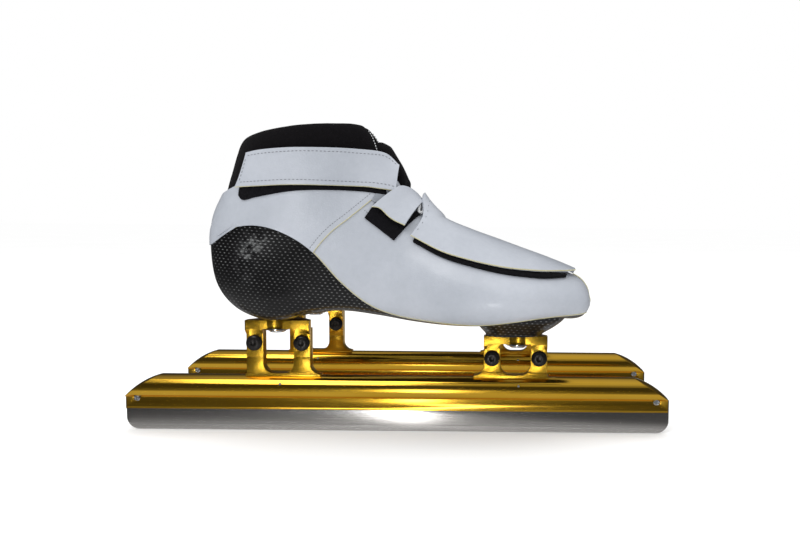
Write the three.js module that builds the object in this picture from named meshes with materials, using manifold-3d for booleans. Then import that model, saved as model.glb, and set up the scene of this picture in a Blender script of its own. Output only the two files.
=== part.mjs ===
// A pair of short-track speed skates, in millimetres: +X to the toes, +Y to the left, +Z up.
// The origin is on the ice, midway between the two runners and at the middle of their length.
import * as THREE from 'three';
import { mergeVertices } from 'three/addons/utils/BufferGeometryUtils.js';
import Module from 'manifold-3d';

const wasm = await Module();
wasm.setup();

// ---------------------------------------------------------------- driving dimensions
const SKATE_SPACING = 108;        // from one runner to the other
const GAP = 0.3;                  // clearance between pieces that touch

const BLADE_LENGTH = 432;
const RUNNER_THICKNESS = 1.2;
const RUNNER_CORNER = 10;         // radius of the runner's bottom corners
const RUNNER_TOP = 29.5;          // height of its hidden upper edge
const RUNNER_CHAMFER = 3;         // at that edge's two ends

const TUBE_RADIUS = 9.5;
const TUBE_AXIS_HEIGHT = 35.2;
const TUBE_BORE_RADIUS = 6;
const TUBE_BORE_LENGTH = 366;
const FLANGE_BOTTOM = 17.6;
const FLANGE_HALF = 4.4;
const TUBE_INSET = 1.6;           // from the runner's end to the tube's
const TUBE_END_CUT = 28;          // length of the rounded cut at each end
const TUBE_END_CROWN = 0.028;     // how fast the cut falls away to the sides, per mm of y squared
const TUBE_END_HEIGHT = 28.6;     // height that the cut comes down to
const PIN_RADIUS = 2.45;
const PIN_INSET = 10.6;           // from the blade's end
const PIN_HEIGHT = 25.9;

const BOLT_SPACING = 190;         // between the two mounting bolts
const BRACKET_CENTRE = 93.5;      // from the blade's middle
const BRACKET_LENGTH = 50;
const REAR_PLATE_TOP = 88.8;
const FRONT_PLATE_TOP = 78.1;
const PLATE_THICKNESS = 6.5;
const PLATE_FRONT = -7.5;         // y of the plate's outer edge
const PLATE_BACK = 14;
const LEG_DROP = 29.4;            // from the plate's top to the leg's foot
const LEG_INNER = 12;             // leg's inner side, from the bracket's middle
const LEG_FRONT = -4;             // y of the leg's outer face
const LAP_PLANE = -0.5;           // y where the leg meets the cup's tab
const PLATE_WEB = { thickness: 2.4, drop: 6, lip: 1.5, root: 0.5 };
const PLATE_SCALLOP = { radius: 9.5, depth: 2.2 };     // cut in the plate's outer edge, at the bolt
const CUP_BACK = 4;
const CUP_HALF_LENGTH = 33;
const CUP_FLARE = 8;              // radius of the cup's flared foot, towards the blade's middle
const CUP_END_FLARE = 1.2;        // and towards the blade's end
const CUP_CROTCH = 8;             // corner radius of the U between the cup's posts
const CLAMP_SCREW_OFFSET = 18.6;
const CLAMP_SCREW_DROP = 18.2;    // from the plate's top
const CLAMP_HEAD_RADIUS = 6.25;
const CLAMP_HEAD_HEIGHT = 3.9;
const CLAMP_SHANK_RADIUS = 2.5;

const SLOT_HALF_WIDTH = 3.45;
const SLOT_FRONT = -3.4;
const SLOT_BACK = 10;
const BOLT_RADIUS = 3;
const BOLT_HEAD_RADIUS = 6.5;
const BOLT_HEAD_HEIGHT = 1.8;
const WASHER_RADIUS = 9.2;
const WASHER_THICKNESS = 1.4;

const SKIN = 2.3;                 // thickness of the carbon and the leather
const LINING_OUTSIDE = 2.6;
const LINING_INSIDE = 5.5;
const LEFT_SETBACK = 13;          // how far back the left boot is bolted on its brackets

// The boot's sections fan out from toe to collar. Each one runs from a point on the side outline's
// underside to one on its top: [top x, top z, bottom x, bottom z, half-width below, half-width above,
// roundness below]. A lower roundness is squarer.
const SECTIONS = [
  [150.5, 109.5, 150.1, 102.0, 15, 10, 0.55],
  [148.6, 116.5, 145.3, 95.8, 29, 21, 0.55],
  [143.0, 123.4, 137.5, 93.4, 38, 28, 0.55],
  [132.8, 128.4, 123.5, 93.8, 46, 33, 0.55],
  [115.0, 135.4, 107.0, 92.6, 53, 37, 0.55],
  [97.0, 141.8, 88.0, 89.8, 57.5, 37, 0.55],
  [77.0, 149.0, 66.0, 87.4, 58, 35, 0.55],
  [55.0, 156.8, 40.0, 87.7, 54, 32, 0.55],
  [36.0, 164.8, 14.0, 90.2, 47, 29, 0.55],
  [21.5, 175.0, -12.0, 94.2, 41, 26, 0.55],
  [10.5, 186.5, -40.0, 97.2, 37, 25, 0.55],
  [5.5, 196.0, -65.0, 94.6, 35, 25.5, 0.55],
  [2.8, 203.0, -86.0, 89.5, 34, 26.5, 0.55],
  [0.0, 208.5, -104.0, 89.4, 33.5, 27.5, 0.62],
  [-3.0, 213.5, -125.5, 98.2, 32.5, 28, 0.75],
  [-6.0, 218.5, -140.3, 115.4, 33, 29, 0.92],
  [-9.0, 223.0, -145.0, 140.5, 33.5, 30, 0.92],
  [-12.5, 228.0, -143.2, 167.0, 33.5, 31, 0.92],
  [-16.0, 233.0, -133.4, 189.6, 33, 31.5, 0.92],
  [-20.0, 238.5, -125.8, 209.0, 32.5, 32, 0.92],
  [-24.5, 244.0, -120.1, 229.0, 31.5, 31.5, 0.92],
  [-30.0, 252.0, -117.0, 246.0, 31, 31, 0.92],
];
const LAST_SECTION = SECTIONS.length - 1;
const RING_SEGMENTS = 12;
const ROUNDNESS_ABOVE = 0.85;

// Side outlines that divide the boot, from heel to toe, as (x, z).
const CARBON_LINE = [
  [-160, 145], [-148, 147], [-137, 150], [-122, 160.5], [-101, 163.5], [-80, 158], [-59, 144.5],
  [-38, 122], [-17, 105], [4.5, 96.8], [35, 92.6], [66, 91], [92, 93.6], [125, 98], [162, 100],
];
const QUARTER_TOP = [
  [-160, 176], [-131, 187.5], [-116, 198.5], [-100, 200], [-60, 197], [-10, 197], [40, 200], [165, 200],
];
const BOOT_CLEAR = 80;             // sideways, clear of the boot
const COLLAR_TOP = [
  [-122.5, 227.5], [-119, 229], [-108.5, 233.6], [-92, 236.8], [-71, 239], [-45, 240.6],
  [-30.4, 241.2], [-22.5, 240], [-17, 236.5], [-13.5, 231.5], [-11, 224],
];

// Colours of the finished pieces.
const GOLD = { color: 0xb98d23, roughness: 0.28, metalness: 1 };
const STEEL = { color: 0x77736f, roughness: 0.32, metalness: 1 };
const SILVER = { color: 0xc9ccd0, roughness: 0.25, metalness: 1 };
const BLACK_OXIDE = { color: 0x1c1a19, roughness: 0.35, metalness: 0.6 };
const CARBON = { color: 0x1c1c1f, roughness: 0.25, metalness: 0.1 };
const WHITE_LEATHER = { color: 0xd5d9e0, roughness: 0.45, metalness: 0 };
const BLACK_FABRIC = { color: 0x131114, roughness: 0.9, metalness: 0 };
const LACE_CORD = { color: 0xd8d8d8, roughness: 0.8, metalness: 0 };

// ---------------------------------------------------------------- solids
function clean(source) {
  const bare = source.index ? source.clone() : mergeVertices(source);
  for (const name of Object.keys(bare.attributes)) {
    if (name !== 'position') bare.deleteAttribute(name);
  }
  const merged = mergeVertices(bare, 1e-4);
  const position = merged.attributes.position;
  const corner = (i) => new THREE.Vector3().fromBufferAttribute(position, i);
  const index = [];
  let volume = 0;
  for (let i = 0; i < merged.index.count; i += 3) {
    const [a, b, c] = [0, 1, 2].map((k) => merged.index.getX(i + k));
    if (a === b || b === c || c === a) continue;
    index.push([a, b, c]);
    volume += corner(a).dot(corner(b).cross(corner(c)));
  }
  const ordered = volume > 0 ? index : index.map(([a, b, c]) => [a, c, b]);
  merged.setIndex(ordered.flat());
  return merged;
}

function solid(geometry) {
  const tidy = clean(geometry);
  const vertProperties = new Float32Array(tidy.attributes.position.array);
  const triVerts = new Uint32Array(tidy.index.array);
  return new wasm.Manifold(new wasm.Mesh({ numProp: 3, vertProperties, triVerts }));
}

function geometryOf(manifold) {
  const mesh = manifold.getMesh();
  const geometry = new THREE.BufferGeometry();
  geometry.setAttribute('position', new THREE.BufferAttribute(mesh.vertProperties, 3));
  geometry.setIndex(new THREE.BufferAttribute(mesh.triVerts, 1));
  return geometry;
}

function box(x0, x1, y0, y1, z0, z1) {
  const geometry = new THREE.BoxGeometry(x1 - x0, y1 - y0, z1 - z0);
  return geometry.translate((x0 + x1) / 2, (y0 + y1) / 2, (z0 + z1) / 2);
}

// A side outline in x and z, run from y0 to y1.
function sidePrism(shape, y0, y1) {
  const options = { depth: y1 - y0, bevelEnabled: false, curveSegments: 5 };
  const geometry = new THREE.ExtrudeGeometry(shape, options);
  return geometry.rotateX(Math.PI / 2).translate(0, y1, 0);
}

// A plan outline in x and y, run from z0 to z1.
function planPrism(shape, z0, z1) {
  const options = { depth: z1 - z0, bevelEnabled: false, curveSegments: 6 };
  const geometry = new THREE.ExtrudeGeometry(shape, options);
  return geometry.translate(0, 0, z0);
}

function rodAlongY(radius, x, y0, y1, z, segments = 12) {
  const geometry = new THREE.CylinderGeometry(radius, radius, y1 - y0, segments);
  return geometry.translate(x, (y0 + y1) / 2, z);
}

function rodAlongZ(radius, x, y, z0, z1, segments = 16) {
  const geometry = new THREE.CylinderGeometry(radius, radius, z1 - z0, segments);
  return geometry.rotateX(Math.PI / 2).translate(x, y, (z0 + z1) / 2);
}

function shapeOf(points) {
  return new THREE.Shape(points.map(([a, b]) => new THREE.Vector2(a, b)));
}

// Turns an outline's x and y into y and z, and its run into x, from the given x on.
function outlineRunAlongX(x) {
  return new THREE.Matrix4().set(0, 0, 1, x, 1, 0, 0, 0, 0, 1, 0, 0, 0, 0, 0, 1);
}

// ---------------------------------------------------------------- blade unit
function runner() {
  const half = BLADE_LENGTH / 2;
  const shape = new THREE.Shape();
  shape.moveTo(-half + RUNNER_CORNER, 0);
  shape.lineTo(half - RUNNER_CORNER, 0);
  shape.absarc(half - RUNNER_CORNER, RUNNER_CORNER, RUNNER_CORNER, -Math.PI / 2, 0, false);
  shape.lineTo(half, RUNNER_TOP - RUNNER_CHAMFER);
  shape.lineTo(half - RUNNER_CHAMFER, RUNNER_TOP);
  shape.lineTo(-half + RUNNER_CHAMFER, RUNNER_TOP);
  shape.lineTo(-half, RUNNER_TOP - RUNNER_CHAMFER);
  shape.absarc(-half + RUNNER_CORNER, RUNNER_CORNER, RUNNER_CORNER, Math.PI, 1.5 * Math.PI, false);
  const plate = solid(sidePrism(shape, -RUNNER_THICKNESS / 2, RUNNER_THICKNESS / 2));
  return geometryOf(plate.subtract(pinRod(-1, PIN_RADIUS + GAP)).subtract(pinRod(1, PIN_RADIUS + GAP)));
}

function pinRod(end, radius) {
  const x = end * (BLADE_LENGTH / 2 - PIN_INSET);
  const reach = FLANGE_HALF + 1;
  return solid(rodAlongY(radius, x, -reach, reach, PIN_HEIGHT));
}

function tubeOutline() {
  const shoulder = Math.asin(FLANGE_HALF / TUBE_RADIUS);
  const shape = new THREE.Shape();
  shape.moveTo(-FLANGE_HALF, FLANGE_BOTTOM);
  shape.lineTo(FLANGE_HALF, FLANGE_BOTTOM);
  shape.absarc(0, TUBE_AXIS_HEIGHT, TUBE_RADIUS, -Math.PI / 2 + shoulder, 1.5 * Math.PI - shoulder, false);
  shape.closePath();
  return shape;
}

function tubeSideOutline() {
  const half = BLADE_LENGTH / 2 - TUBE_INSET;
  const top = TUBE_AXIS_HEIGHT + TUBE_RADIUS;
  const bend = [half - 0.43 * TUBE_END_CUT, top - 3.6];
  const clear = { above: 0.2, below: 1 };
  const shape = new THREE.Shape();
  shape.moveTo(-half, FLANGE_BOTTOM - clear.below);
  shape.lineTo(half, FLANGE_BOTTOM - clear.below);
  shape.lineTo(half, TUBE_END_HEIGHT);
  shape.quadraticCurveTo(bend[0], bend[1], half - TUBE_END_CUT, top + clear.above);
  shape.lineTo(-half + TUBE_END_CUT, top + clear.above);
  shape.quadraticCurveTo(-bend[0], bend[1], -half, TUBE_END_HEIGHT);
  return shape;
}

// The block that trims the tube's ends; its upper side is crowned across the tube.
function tubeTrim() {
  const reach = TUBE_RADIUS + 1;
  const block = new THREE.ExtrudeGeometry(tubeSideOutline(), {
    depth: 2 * reach, steps: 6, bevelEnabled: false, curveSegments: 6,
  });
  block.rotateX(Math.PI / 2).translate(0, reach, 0);
  const position = block.attributes.position;
  for (let i = 0; i < position.count; i += 1) {
    const y = position.getY(i);
    if (position.getZ(i) > FLANGE_BOTTOM) position.setZ(i, position.getZ(i) - TUBE_END_CROWN * y * y);
  }
  return solid(block);
}

function tube() {
  const half = BLADE_LENGTH / 2;
  const profile = new THREE.ExtrudeGeometry(tubeOutline(), {
    depth: BLADE_LENGTH + 2, bevelEnabled: false, curveSegments: 14,
  });
  profile.applyMatrix4(outlineRunAlongX(-half - 1));
  const slotHalf = RUNNER_THICKNESS / 2 + GAP;
  const slot = box(-half - 2, half + 2, -slotHalf, slotHalf, FLANGE_BOTTOM - 1, RUNNER_TOP + GAP);
  const bore = new THREE.CylinderGeometry(TUBE_BORE_RADIUS, TUBE_BORE_RADIUS, TUBE_BORE_LENGTH, 10);
  bore.rotateZ(Math.PI / 2).translate(0, 0, TUBE_AXIS_HEIGHT);
  return geometryOf(solid(profile)
    .intersect(tubeTrim())
    .subtract(solid(slot))
    .subtract(solid(bore))
    .subtract(pinRod(-1, PIN_RADIUS + GAP))
    .subtract(pinRod(1, PIN_RADIUS + GAP)));
}

function plateOutline(bracket) {
  const half = BRACKET_LENGTH / 2;
  const { radius, depth } = PLATE_SCALLOP;
  const shape = new THREE.Shape();
  const sweep = Math.acos(1 - depth / radius);
  shape.moveTo(bracket.centre - half, PLATE_FRONT);
  const [from, to] = [Math.PI / 2 + sweep, Math.PI / 2 - sweep];
  shape.absarc(bracket.bolt, PLATE_FRONT + depth - radius, radius, from, to, true);
  shape.lineTo(bracket.centre + half, PLATE_FRONT);
  shape.lineTo(bracket.centre + half, -0.5);
  shape.lineTo(bracket.centre + 0.5 * half, PLATE_BACK);
  shape.lineTo(bracket.centre - 0.5 * half, PLATE_BACK);
  shape.lineTo(bracket.centre - half, -0.5);
  const slot = new THREE.Path();
  slot.absarc(bracket.bolt, SLOT_BACK - SLOT_HALF_WIDTH, SLOT_HALF_WIDTH, 0, Math.PI, false);
  slot.absarc(bracket.bolt, SLOT_FRONT + SLOT_HALF_WIDTH, SLOT_HALF_WIDTH, Math.PI, 2 * Math.PI, false);
  shape.holes.push(slot);
  return shape;
}

// The small web that carries the plate's overhang down the leg's outer end.
function plateWeb(bracket, end) {
  const { thickness, drop, lip, root } = PLATE_WEB;
  const foot = bracket.plateTop - PLATE_THICKNESS;
  const profile = shapeOf([
    [PLATE_FRONT, foot + root], [PLATE_FRONT, foot - lip],
    [LEG_FRONT + root, foot - drop], [LEG_FRONT + root, foot + root],
  ]);
  const web = new THREE.ExtrudeGeometry(profile, { depth: thickness, bevelEnabled: false });
  const x = bracket.centre + end * BRACKET_LENGTH / 2 - (end > 0 ? thickness : 0);
  return web.applyMatrix4(outlineRunAlongX(x));
}

function bracketSolid(bracket) {
  const { centre, plateTop } = bracket;
  const half = BRACKET_LENGTH / 2;
  let body = solid(planPrism(plateOutline(bracket), plateTop - PLATE_THICKNESS, plateTop));
  for (const end of [-1, 1]) {
    const near = Math.min(end * LEG_INNER, end * half);
    const leg = box(centre + near, centre + near + half - LEG_INNER, LEG_FRONT, LAP_PLANE - GAP / 2,
      plateTop - LEG_DROP, plateTop - 1);
    body = body.add(solid(leg)).add(solid(plateWeb(bracket, end)));
  }
  return geometryOf(body.subtract(clampHoles(bracket)));
}

function clampHoles(bracket) {
  const hole = (end) => solid(rodAlongY(CLAMP_SHANK_RADIUS + GAP, bracket.centre + end * CLAMP_SCREW_OFFSET,
    LEG_FRONT - 1, CUP_BACK + 1, bracket.plateTop - CLAMP_SCREW_DROP));
  return hole(-1).add(hole(1));
}

function cupOutline(bracket) {
  const { centre, plateTop } = bracket;
  const foot = TUBE_AXIS_HEIGHT + TUBE_RADIUS + 0.9;
  const outer = BRACKET_LENGTH / 2;
  const tabTop = plateTop - PLATE_THICKNESS - GAP;
  const crotch = foot + 0.6 + CUP_CROTCH;
  const crotchCentre = LEG_INNER - CUP_CROTCH;
  const [heelward, toeward] = centre > 0 ? [CUP_FLARE, CUP_END_FLARE] : [CUP_END_FLARE, CUP_FLARE];
  const shape = new THREE.Shape();
  shape.moveTo(centre - outer - heelward, TUBE_AXIS_HEIGHT + 2);
  shape.lineTo(centre + outer + toeward, TUBE_AXIS_HEIGHT + 2);
  shape.absarc(centre + outer + toeward, foot + toeward, toeward, 1.5 * Math.PI, Math.PI, true);
  shape.lineTo(centre + outer, tabTop);
  shape.lineTo(centre + LEG_INNER, tabTop);
  shape.absarc(centre + crotchCentre, crotch, CUP_CROTCH, 0, -Math.PI / 2, true);
  shape.absarc(centre - crotchCentre, crotch, CUP_CROTCH, -Math.PI / 2, -Math.PI, true);
  shape.lineTo(centre - LEG_INNER, tabTop);
  shape.lineTo(centre - outer, tabTop);
  shape.absarc(centre - outer - heelward, foot + heelward, heelward, 0, -Math.PI / 2, true);
  return shape;
}

function cup(bracket) {
  const { centre, plateTop } = bracket;
  const outline = cupOutline(bracket);
  const reach = CUP_HALF_LENGTH + 1;
  const legFoot = plateTop - LEG_DROP - GAP;
  const back = solid(sidePrism(outline, LAP_PLANE + GAP / 2, CUP_BACK));
  const front = solid(sidePrism(outline, LEG_FRONT, LAP_PLANE + 1))
    .intersect(solid(
      box(centre - reach, centre + reach, LEG_FRONT - 1, CUP_BACK, TUBE_AXIS_HEIGHT, legFoot),
    ));
  const saddle = new THREE.CylinderGeometry(TUBE_RADIUS + GAP, TUBE_RADIUS + GAP, 2 * reach, 24);
  saddle.rotateZ(Math.PI / 2).translate(centre, 0, TUBE_AXIS_HEIGHT);
  return geometryOf(back.add(front).subtract(solid(saddle)).subtract(clampHoles(bracket)));
}

function clampScrew(bracket, end) {
  const under = LEG_FRONT - 0.1;
  const top = under - CLAMP_HEAD_HEIGHT;
  const profile = [[0, CUP_BACK], [CLAMP_SHANK_RADIUS, CUP_BACK], [CLAMP_SHANK_RADIUS, under],
    [CLAMP_HEAD_RADIUS, under], [CLAMP_HEAD_RADIUS, under - 1.6], [0.86 * CLAMP_HEAD_RADIUS, top + 0.6],
    [0.55 * CLAMP_HEAD_RADIUS, top], [0, top]];
  const turned = new THREE.LatheGeometry(profile.map(([r, y]) => new THREE.Vector2(r, y)), 10);
  const socket = rodAlongY(2.3, 0, top - 1, top + 2.2, 0, 6);
  const x = bracket.centre + end * CLAMP_SCREW_OFFSET;
  const z = bracket.plateTop - CLAMP_SCREW_DROP;
  return geometryOf(solid(turned).subtract(solid(socket))).translate(x, 0, z);
}

function washer(bracket) {
  const top = bracket.plateTop - PLATE_THICKNESS - 0.1;
  const disc = solid(rodAlongZ(WASHER_RADIUS, bracket.bolt, 0, top - WASHER_THICKNESS, top));
  return geometryOf(disc.subtract(solid(rodAlongZ(BOLT_RADIUS + GAP, bracket.bolt, 0, top - 5, top + 5))));
}

function mountingBolt(bracket) {
  const under = bracket.plateTop - PLATE_THICKNESS - WASHER_THICKNESS - 0.2;
  const foot = under - BOLT_HEAD_HEIGHT;
  const profile = [
    [0, foot], [0.8 * BOLT_HEAD_RADIUS, foot], [BOLT_HEAD_RADIUS, foot + 0.5 * BOLT_HEAD_HEIGHT],
    [BOLT_HEAD_RADIUS, under], [BOLT_RADIUS, under], [BOLT_RADIUS, bracket.boltTop], [0, bracket.boltTop],
  ];
  const turned = new THREE.LatheGeometry(profile.map(([r, y]) => new THREE.Vector2(r, y)), 12);
  turned.rotateX(Math.PI / 2);
  return turned.translate(bracket.bolt, 0, 0);
}

// ---------------------------------------------------------------- boot surface
function sectionAt(t) {
  const i = Math.min(Math.max(Math.floor(t), 0), LAST_SECTION - 1);
  const f = t - i;
  const [a, b, c, d] = [i - 1, i, i + 1, i + 2].map((k) => SECTIONS[Math.min(Math.max(k, 0), LAST_SECTION)]);
  return b.map((value, k) => {
    const leaving = (c[k] - a[k]) / 2;
    const arriving = (d[k] - b[k]) / 2;
    const turn = f * f * (3 - 2 * f);
    return value * (1 - turn) + c[k] * turn + leaving * f * (1 - f) * (1 - f) - arriving * f * f * (1 - f);
  });
}

// A point of the boot's outside. The angle runs from 0 underneath, by the outer side, to pi on top;
// inset shrinks the section in its own plane.
function skinPoint(t, angle, inset = 0) {
  const [topX, topZ, bottomX, bottomZ, below, above, roundnessBelow] = sectionAt(t);
  const length = Math.hypot(topX - bottomX, topZ - bottomZ);
  const along = 0.5 + (0.5 - (1 + Math.cos(angle)) / 2) * (1 - 2 * inset / length);
  const rise = (1 - Math.cos(angle)) / 2;
  const roundness = roundnessBelow + (ROUNDNESS_ABOVE - roundnessBelow) * rise;
  const sine = Math.sin(angle);
  const half = below + (above - below) * rise - inset;
  const spread = half * Math.sign(sine) * Math.abs(sine) ** roundness;
  return new THREE.Vector3(bottomX + (topX - bottomX) * along, -spread, bottomZ + (topZ - bottomZ) * along);
}

// The same point lifted off the surface along its normal.
function liftedPoint(t, angle, lift) {
  const step = 0.05;
  const point = skinPoint(t, angle);
  const alongBoot = skinPoint(t + step, angle).sub(skinPoint(t - step, angle));
  const around = skinPoint(t, angle + step).sub(skinPoint(t, angle - step));
  const normal = alongBoot.cross(around).normalize();
  const [topX, topZ, bottomX, bottomZ] = sectionAt(t);
  const outward = point.clone().sub(new THREE.Vector3((topX + bottomX) / 2, 0, (topZ + bottomZ) / 2));
  return point.addScaledVector(normal, normal.dot(outward) < 0 ? -lift : lift);
}

// The section and angle of the outer side's point that a side view shows at (x, z).
function findOnSide(x, z) {
  const offset = (t) => {
    const [topX, topZ, bottomX, bottomZ] = sectionAt(t);
    return (topX - bottomX) * (z - bottomZ) - (topZ - bottomZ) * (x - bottomX);
  };
  let [low, high] = [0.2, LAST_SECTION];
  for (let i = 0; i < 40; i += 1) {
    const middle = (low + high) / 2;
    if (offset(middle) > 0) low = middle;
    else high = middle;
  }
  const [topX, topZ, bottomX, bottomZ] = sectionAt(low);
  const [runX, runZ] = [topX - bottomX, topZ - bottomZ];
  const rise = ((x - bottomX) * runX + (z - bottomZ) * runZ) / (runX * runX + runZ * runZ);
  return [low, Math.acos(1 - 2 * Math.min(Math.max(rise, 0), 1))];
}

// The boot's filled form, shrunk by inset, from one section to another.
function bootForm(inset, first, last) {
  const rings = [];
  const inner = Array.from({ length: LAST_SECTION }, (_, i) => i + 1);
  const steps = [first, ...inner.filter((t) => t > first + 0.3 && t < last)];
  for (const t of [...steps, last]) {
    const angles = Array.from({ length: RING_SEGMENTS }, (_, i) => i * 2 * Math.PI / RING_SEGMENTS);
    const ring = angles.map((angle) => skinPoint(t, angle, inset));
    rings.push(ring);
  }
  return loft(rings);
}

// The triangles that close a round ring: a fan about the middle point.
function fanCap(count, middle) {
  return Array.from({ length: count }, (_, i) => [middle, i, (i + 1) % count]);
}

// The triangles that close a ring that goes up one face of a plate and back down the other.
function stripCap(count) {
  const triangles = [];
  for (let i = 0; i + 1 < count / 2; i += 1) {
    triangles.push([i, i + 1, count - 2 - i], [i, count - 2 - i, count - 1 - i]);
  }
  return triangles;
}

// Closed rings joined in order. The rings of a plate have strips for caps, and the others have fans.
function loft(rings, isPlate = false) {
  const count = rings[0].length;
  const points = rings.flat();
  const index = [];
  for (let r = 0; r + 1 < rings.length; r += 1) {
    for (let i = 0; i < count; i += 1) {
      const next = (i + 1) % count;
      const [a, b, c, d] = [r * count + i, r * count + next, (r + 1) * count + i, (r + 1) * count + next];
      index.push(a, b, d, a, d, c);
    }
  }
  for (const [r, flip] of [[0, true], [rings.length - 1, false]]) {
    const first = r * count;
    let cap = isPlate ? stripCap(count) : fanCap(count, points.length - first);
    if (!isPlate) {
      points.push(rings[r].reduce((sum, p) => sum.add(p), new THREE.Vector3()).divideScalar(count));
    }
    if (flip) cap = cap.map(([a, b, c]) => [a, c, b]);
    index.push(...cap.flat().map((i) => first + i));
  }
  const geometry = new THREE.BufferGeometry().setFromPoints(points);
  geometry.setIndex(index);
  return clean(geometry);
}

// A plate that lies along the boot's surface. edge(u) gives its two sides there, as [section, angle] pairs.
function surfacePlate(edge, columns, rows, inner, outer) {
  const rings = [];
  for (let u = 0; u <= columns; u += 1) {
    const [start, end] = edge(u / columns);
    const place = (v, lift) => {
      const t = start[0] + (end[0] - start[0]) * v;
      return liftedPoint(t, start[1] + (end[1] - start[1]) * v, lift);
    };
    const outerRow = Array.from({ length: rows + 1 }, (_, i) => place(i / rows, outer));
    const innerRow = Array.from({ length: rows + 1 }, (_, i) => place(1 - i / rows, inner));
    rings.push([...outerRow, ...innerRow]);
  }
  return loft(rings, true);
}

function smoothLine(points, u) {
  const curve = new THREE.SplineCurve(points.map(([a, b]) => new THREE.Vector2(a, b)));
  const { x, y } = curve.getPoint(u);
  return [x, y];
}

function sideLine(points) {
  return (u) => findOnSide(...smoothLine(points, u));
}

// The region under or over a side outline, as a block right across the boot.
function sideRegion(line, level) {
  const curve = new THREE.SplineCurve(line.map(([a, b]) => new THREE.Vector2(a, b)));
  const outline = curve.getPoints(18).map((p) => [p.x, p.y]);
  const closed = [...outline, [outline.at(-1)[0], level], [outline[0][0], level]];
  return solid(sidePrism(shapeOf(closed), -BOOT_CLEAR, BOOT_CLEAR));
}

function raised(line, amount) {
  return line.map(([x, z]) => [x, z + amount]);
}

// ---------------------------------------------------------------- boot pieces
const REAR = { centre: -BRACKET_CENTRE, bolt: -BOLT_SPACING / 2, plateTop: REAR_PLATE_TOP, boltTop: 93.6 };
const FRONT = { centre: BRACKET_CENTRE, bolt: BOLT_SPACING / 2, plateTop: FRONT_PLATE_TOP, boltTop: 88 };

const BELOW_BOOT = 60;            // heights clear of the boot
const ABOVE_BOOT = 270;
const LINING_TOP = [[-165, 227.5], ...COLLAR_TOP, [0, 223], [30, 223], [165, 223]];

const THROAT = { start: 3.4, end: 11.6, half: 0.3 };
const TONGUE = {
  start: 3.0, end: 16.9, half: 0.34, slotHalf: 0.41, padStart: 11, padHalf: 0.27, padLift: 4.6,
};
const CUT = { depth: 10, height: 6 };   // how far the slots' cutters reach in and out of the skin
const COLLAR_SLOT_HALF = 0.2;     // above the tongue

const INSOLE = { thickness: 2.6, heel: -104, toe: 133, half: 22, under: 80, over: 112 };

// Boot pieces are made in the boot's own place, so a boot that is set back has its bolts further forward.
function boltHole(bracket, setback) {
  const foot = bracket.plateTop - 5;
  return solid(rodAlongZ(BOLT_RADIUS + GAP, bracket.bolt + setback, 0, foot, bracket.boltTop + GAP, 12));
}

// A cutter along the boot's front ridge.
function ridgeCutter(start, end, half, depth, height) {
  const edge = (u) => {
    const t = start + (end - start) * u;
    return [[t, Math.PI - half], [t, Math.PI + half]];
  };
  return solid(surfacePlate(edge, 9, 2, -depth, height));
}

function skinShell(part) {
  const shell = solid(bootForm(0, 0, LAST_SECTION)).subtract(solid(bootForm(SKIN, 1.2, LAST_SECTION)));
  return part.reduce((body, cut) => cut(body), shell);
}

function bootShell(setback) {
  return geometryOf(skinShell([
    (body) => body.intersect(sideRegion(CARBON_LINE, BELOW_BOOT)),
    (body) => body.subtract(boltHole(REAR, setback)),
  ]));
}

function upper() {
  return geometryOf(skinShell([
    (body) => body.intersect(sideRegion(raised(CARBON_LINE, GAP), ABOVE_BOOT)),
    (body) => body.intersect(sideRegion(QUARTER_TOP, BELOW_BOOT)),
    (body) => body.subtract(ridgeCutter(THROAT.start, THROAT.end + 2, THROAT.half, SKIN + 3, CUT.height)),
  ]));
}

function collarLining(setback) {
  const outside = solid(bootForm(LINING_OUTSIDE, 1.3, LAST_SECTION));
  const hollow = solid(bootForm(LINING_INSIDE, 1.7, LAST_SECTION + 0.4));
  return geometryOf(outside.subtract(hollow)
    .intersect(sideRegion(LINING_TOP, BELOW_BOOT))
    .subtract(ridgeCutter(TONGUE.start - 0.5, TONGUE.end + 0.3, TONGUE.slotHalf, CUT.depth, CUT.height))
    .subtract(ridgeCutter(TONGUE.end, LAST_SECTION + 0.3, COLLAR_SLOT_HALF, CUT.depth, CUT.height))
    .subtract(boltHole(REAR, setback)));
}

// The dent that the ankle strap's front corner presses in the tongue's pad.
function strapRecess() {
  const margins = [-0.12, 0.2];
  const widened = ([t, angle], k) => [t + margins[k], angle];
  const edge = (u) => strapEdge(0.6 + 0.4 * u).map(widened).map(([t, angle]) => [t, angle + 0.05 * u]);
  return solid(surfacePlate(edge, 8, 2, LIFT.strap[0] - 0.5, TONGUE.padLift + 2));
}

// The tongue lies under the throat's edges, and above them it swells out as the ankle's front pad.
function tongue() {
  const { start, end, half, padStart, padHalf, padLift } = TONGUE;
  const inner = solid(bootForm(LINING_INSIDE + 0.3, 1.7, LAST_SECTION));
  const flap = solid(bootForm(LINING_OUTSIDE + 0.1, 1.3, LAST_SECTION))
    .intersect(ridgeCutter(start, end, half, CUT.depth, CUT.height));
  const pad = solid(bootForm(-padLift, 0, LAST_SECTION))
    .intersect(ridgeCutter(padStart, end, padHalf, SKIN + 2, 2 * padLift));
  return geometryOf(flap.add(pad).subtract(inner).subtract(strapRecess()));
}

// A flat sheet of foam along the bottom of the lining.
function insole() {
  const bed = solid(bootForm(LINING_INSIDE + GAP, 1.7, LAST_SECTION));
  const layer = bed.subtract(bed.translate([0, 0, INSOLE.thickness]));
  const trim = box(INSOLE.heel, INSOLE.toe, -INSOLE.half, INSOLE.half, INSOLE.under, INSOLE.over);
  return geometryOf(layer.intersect(solid(trim)));
}

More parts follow.
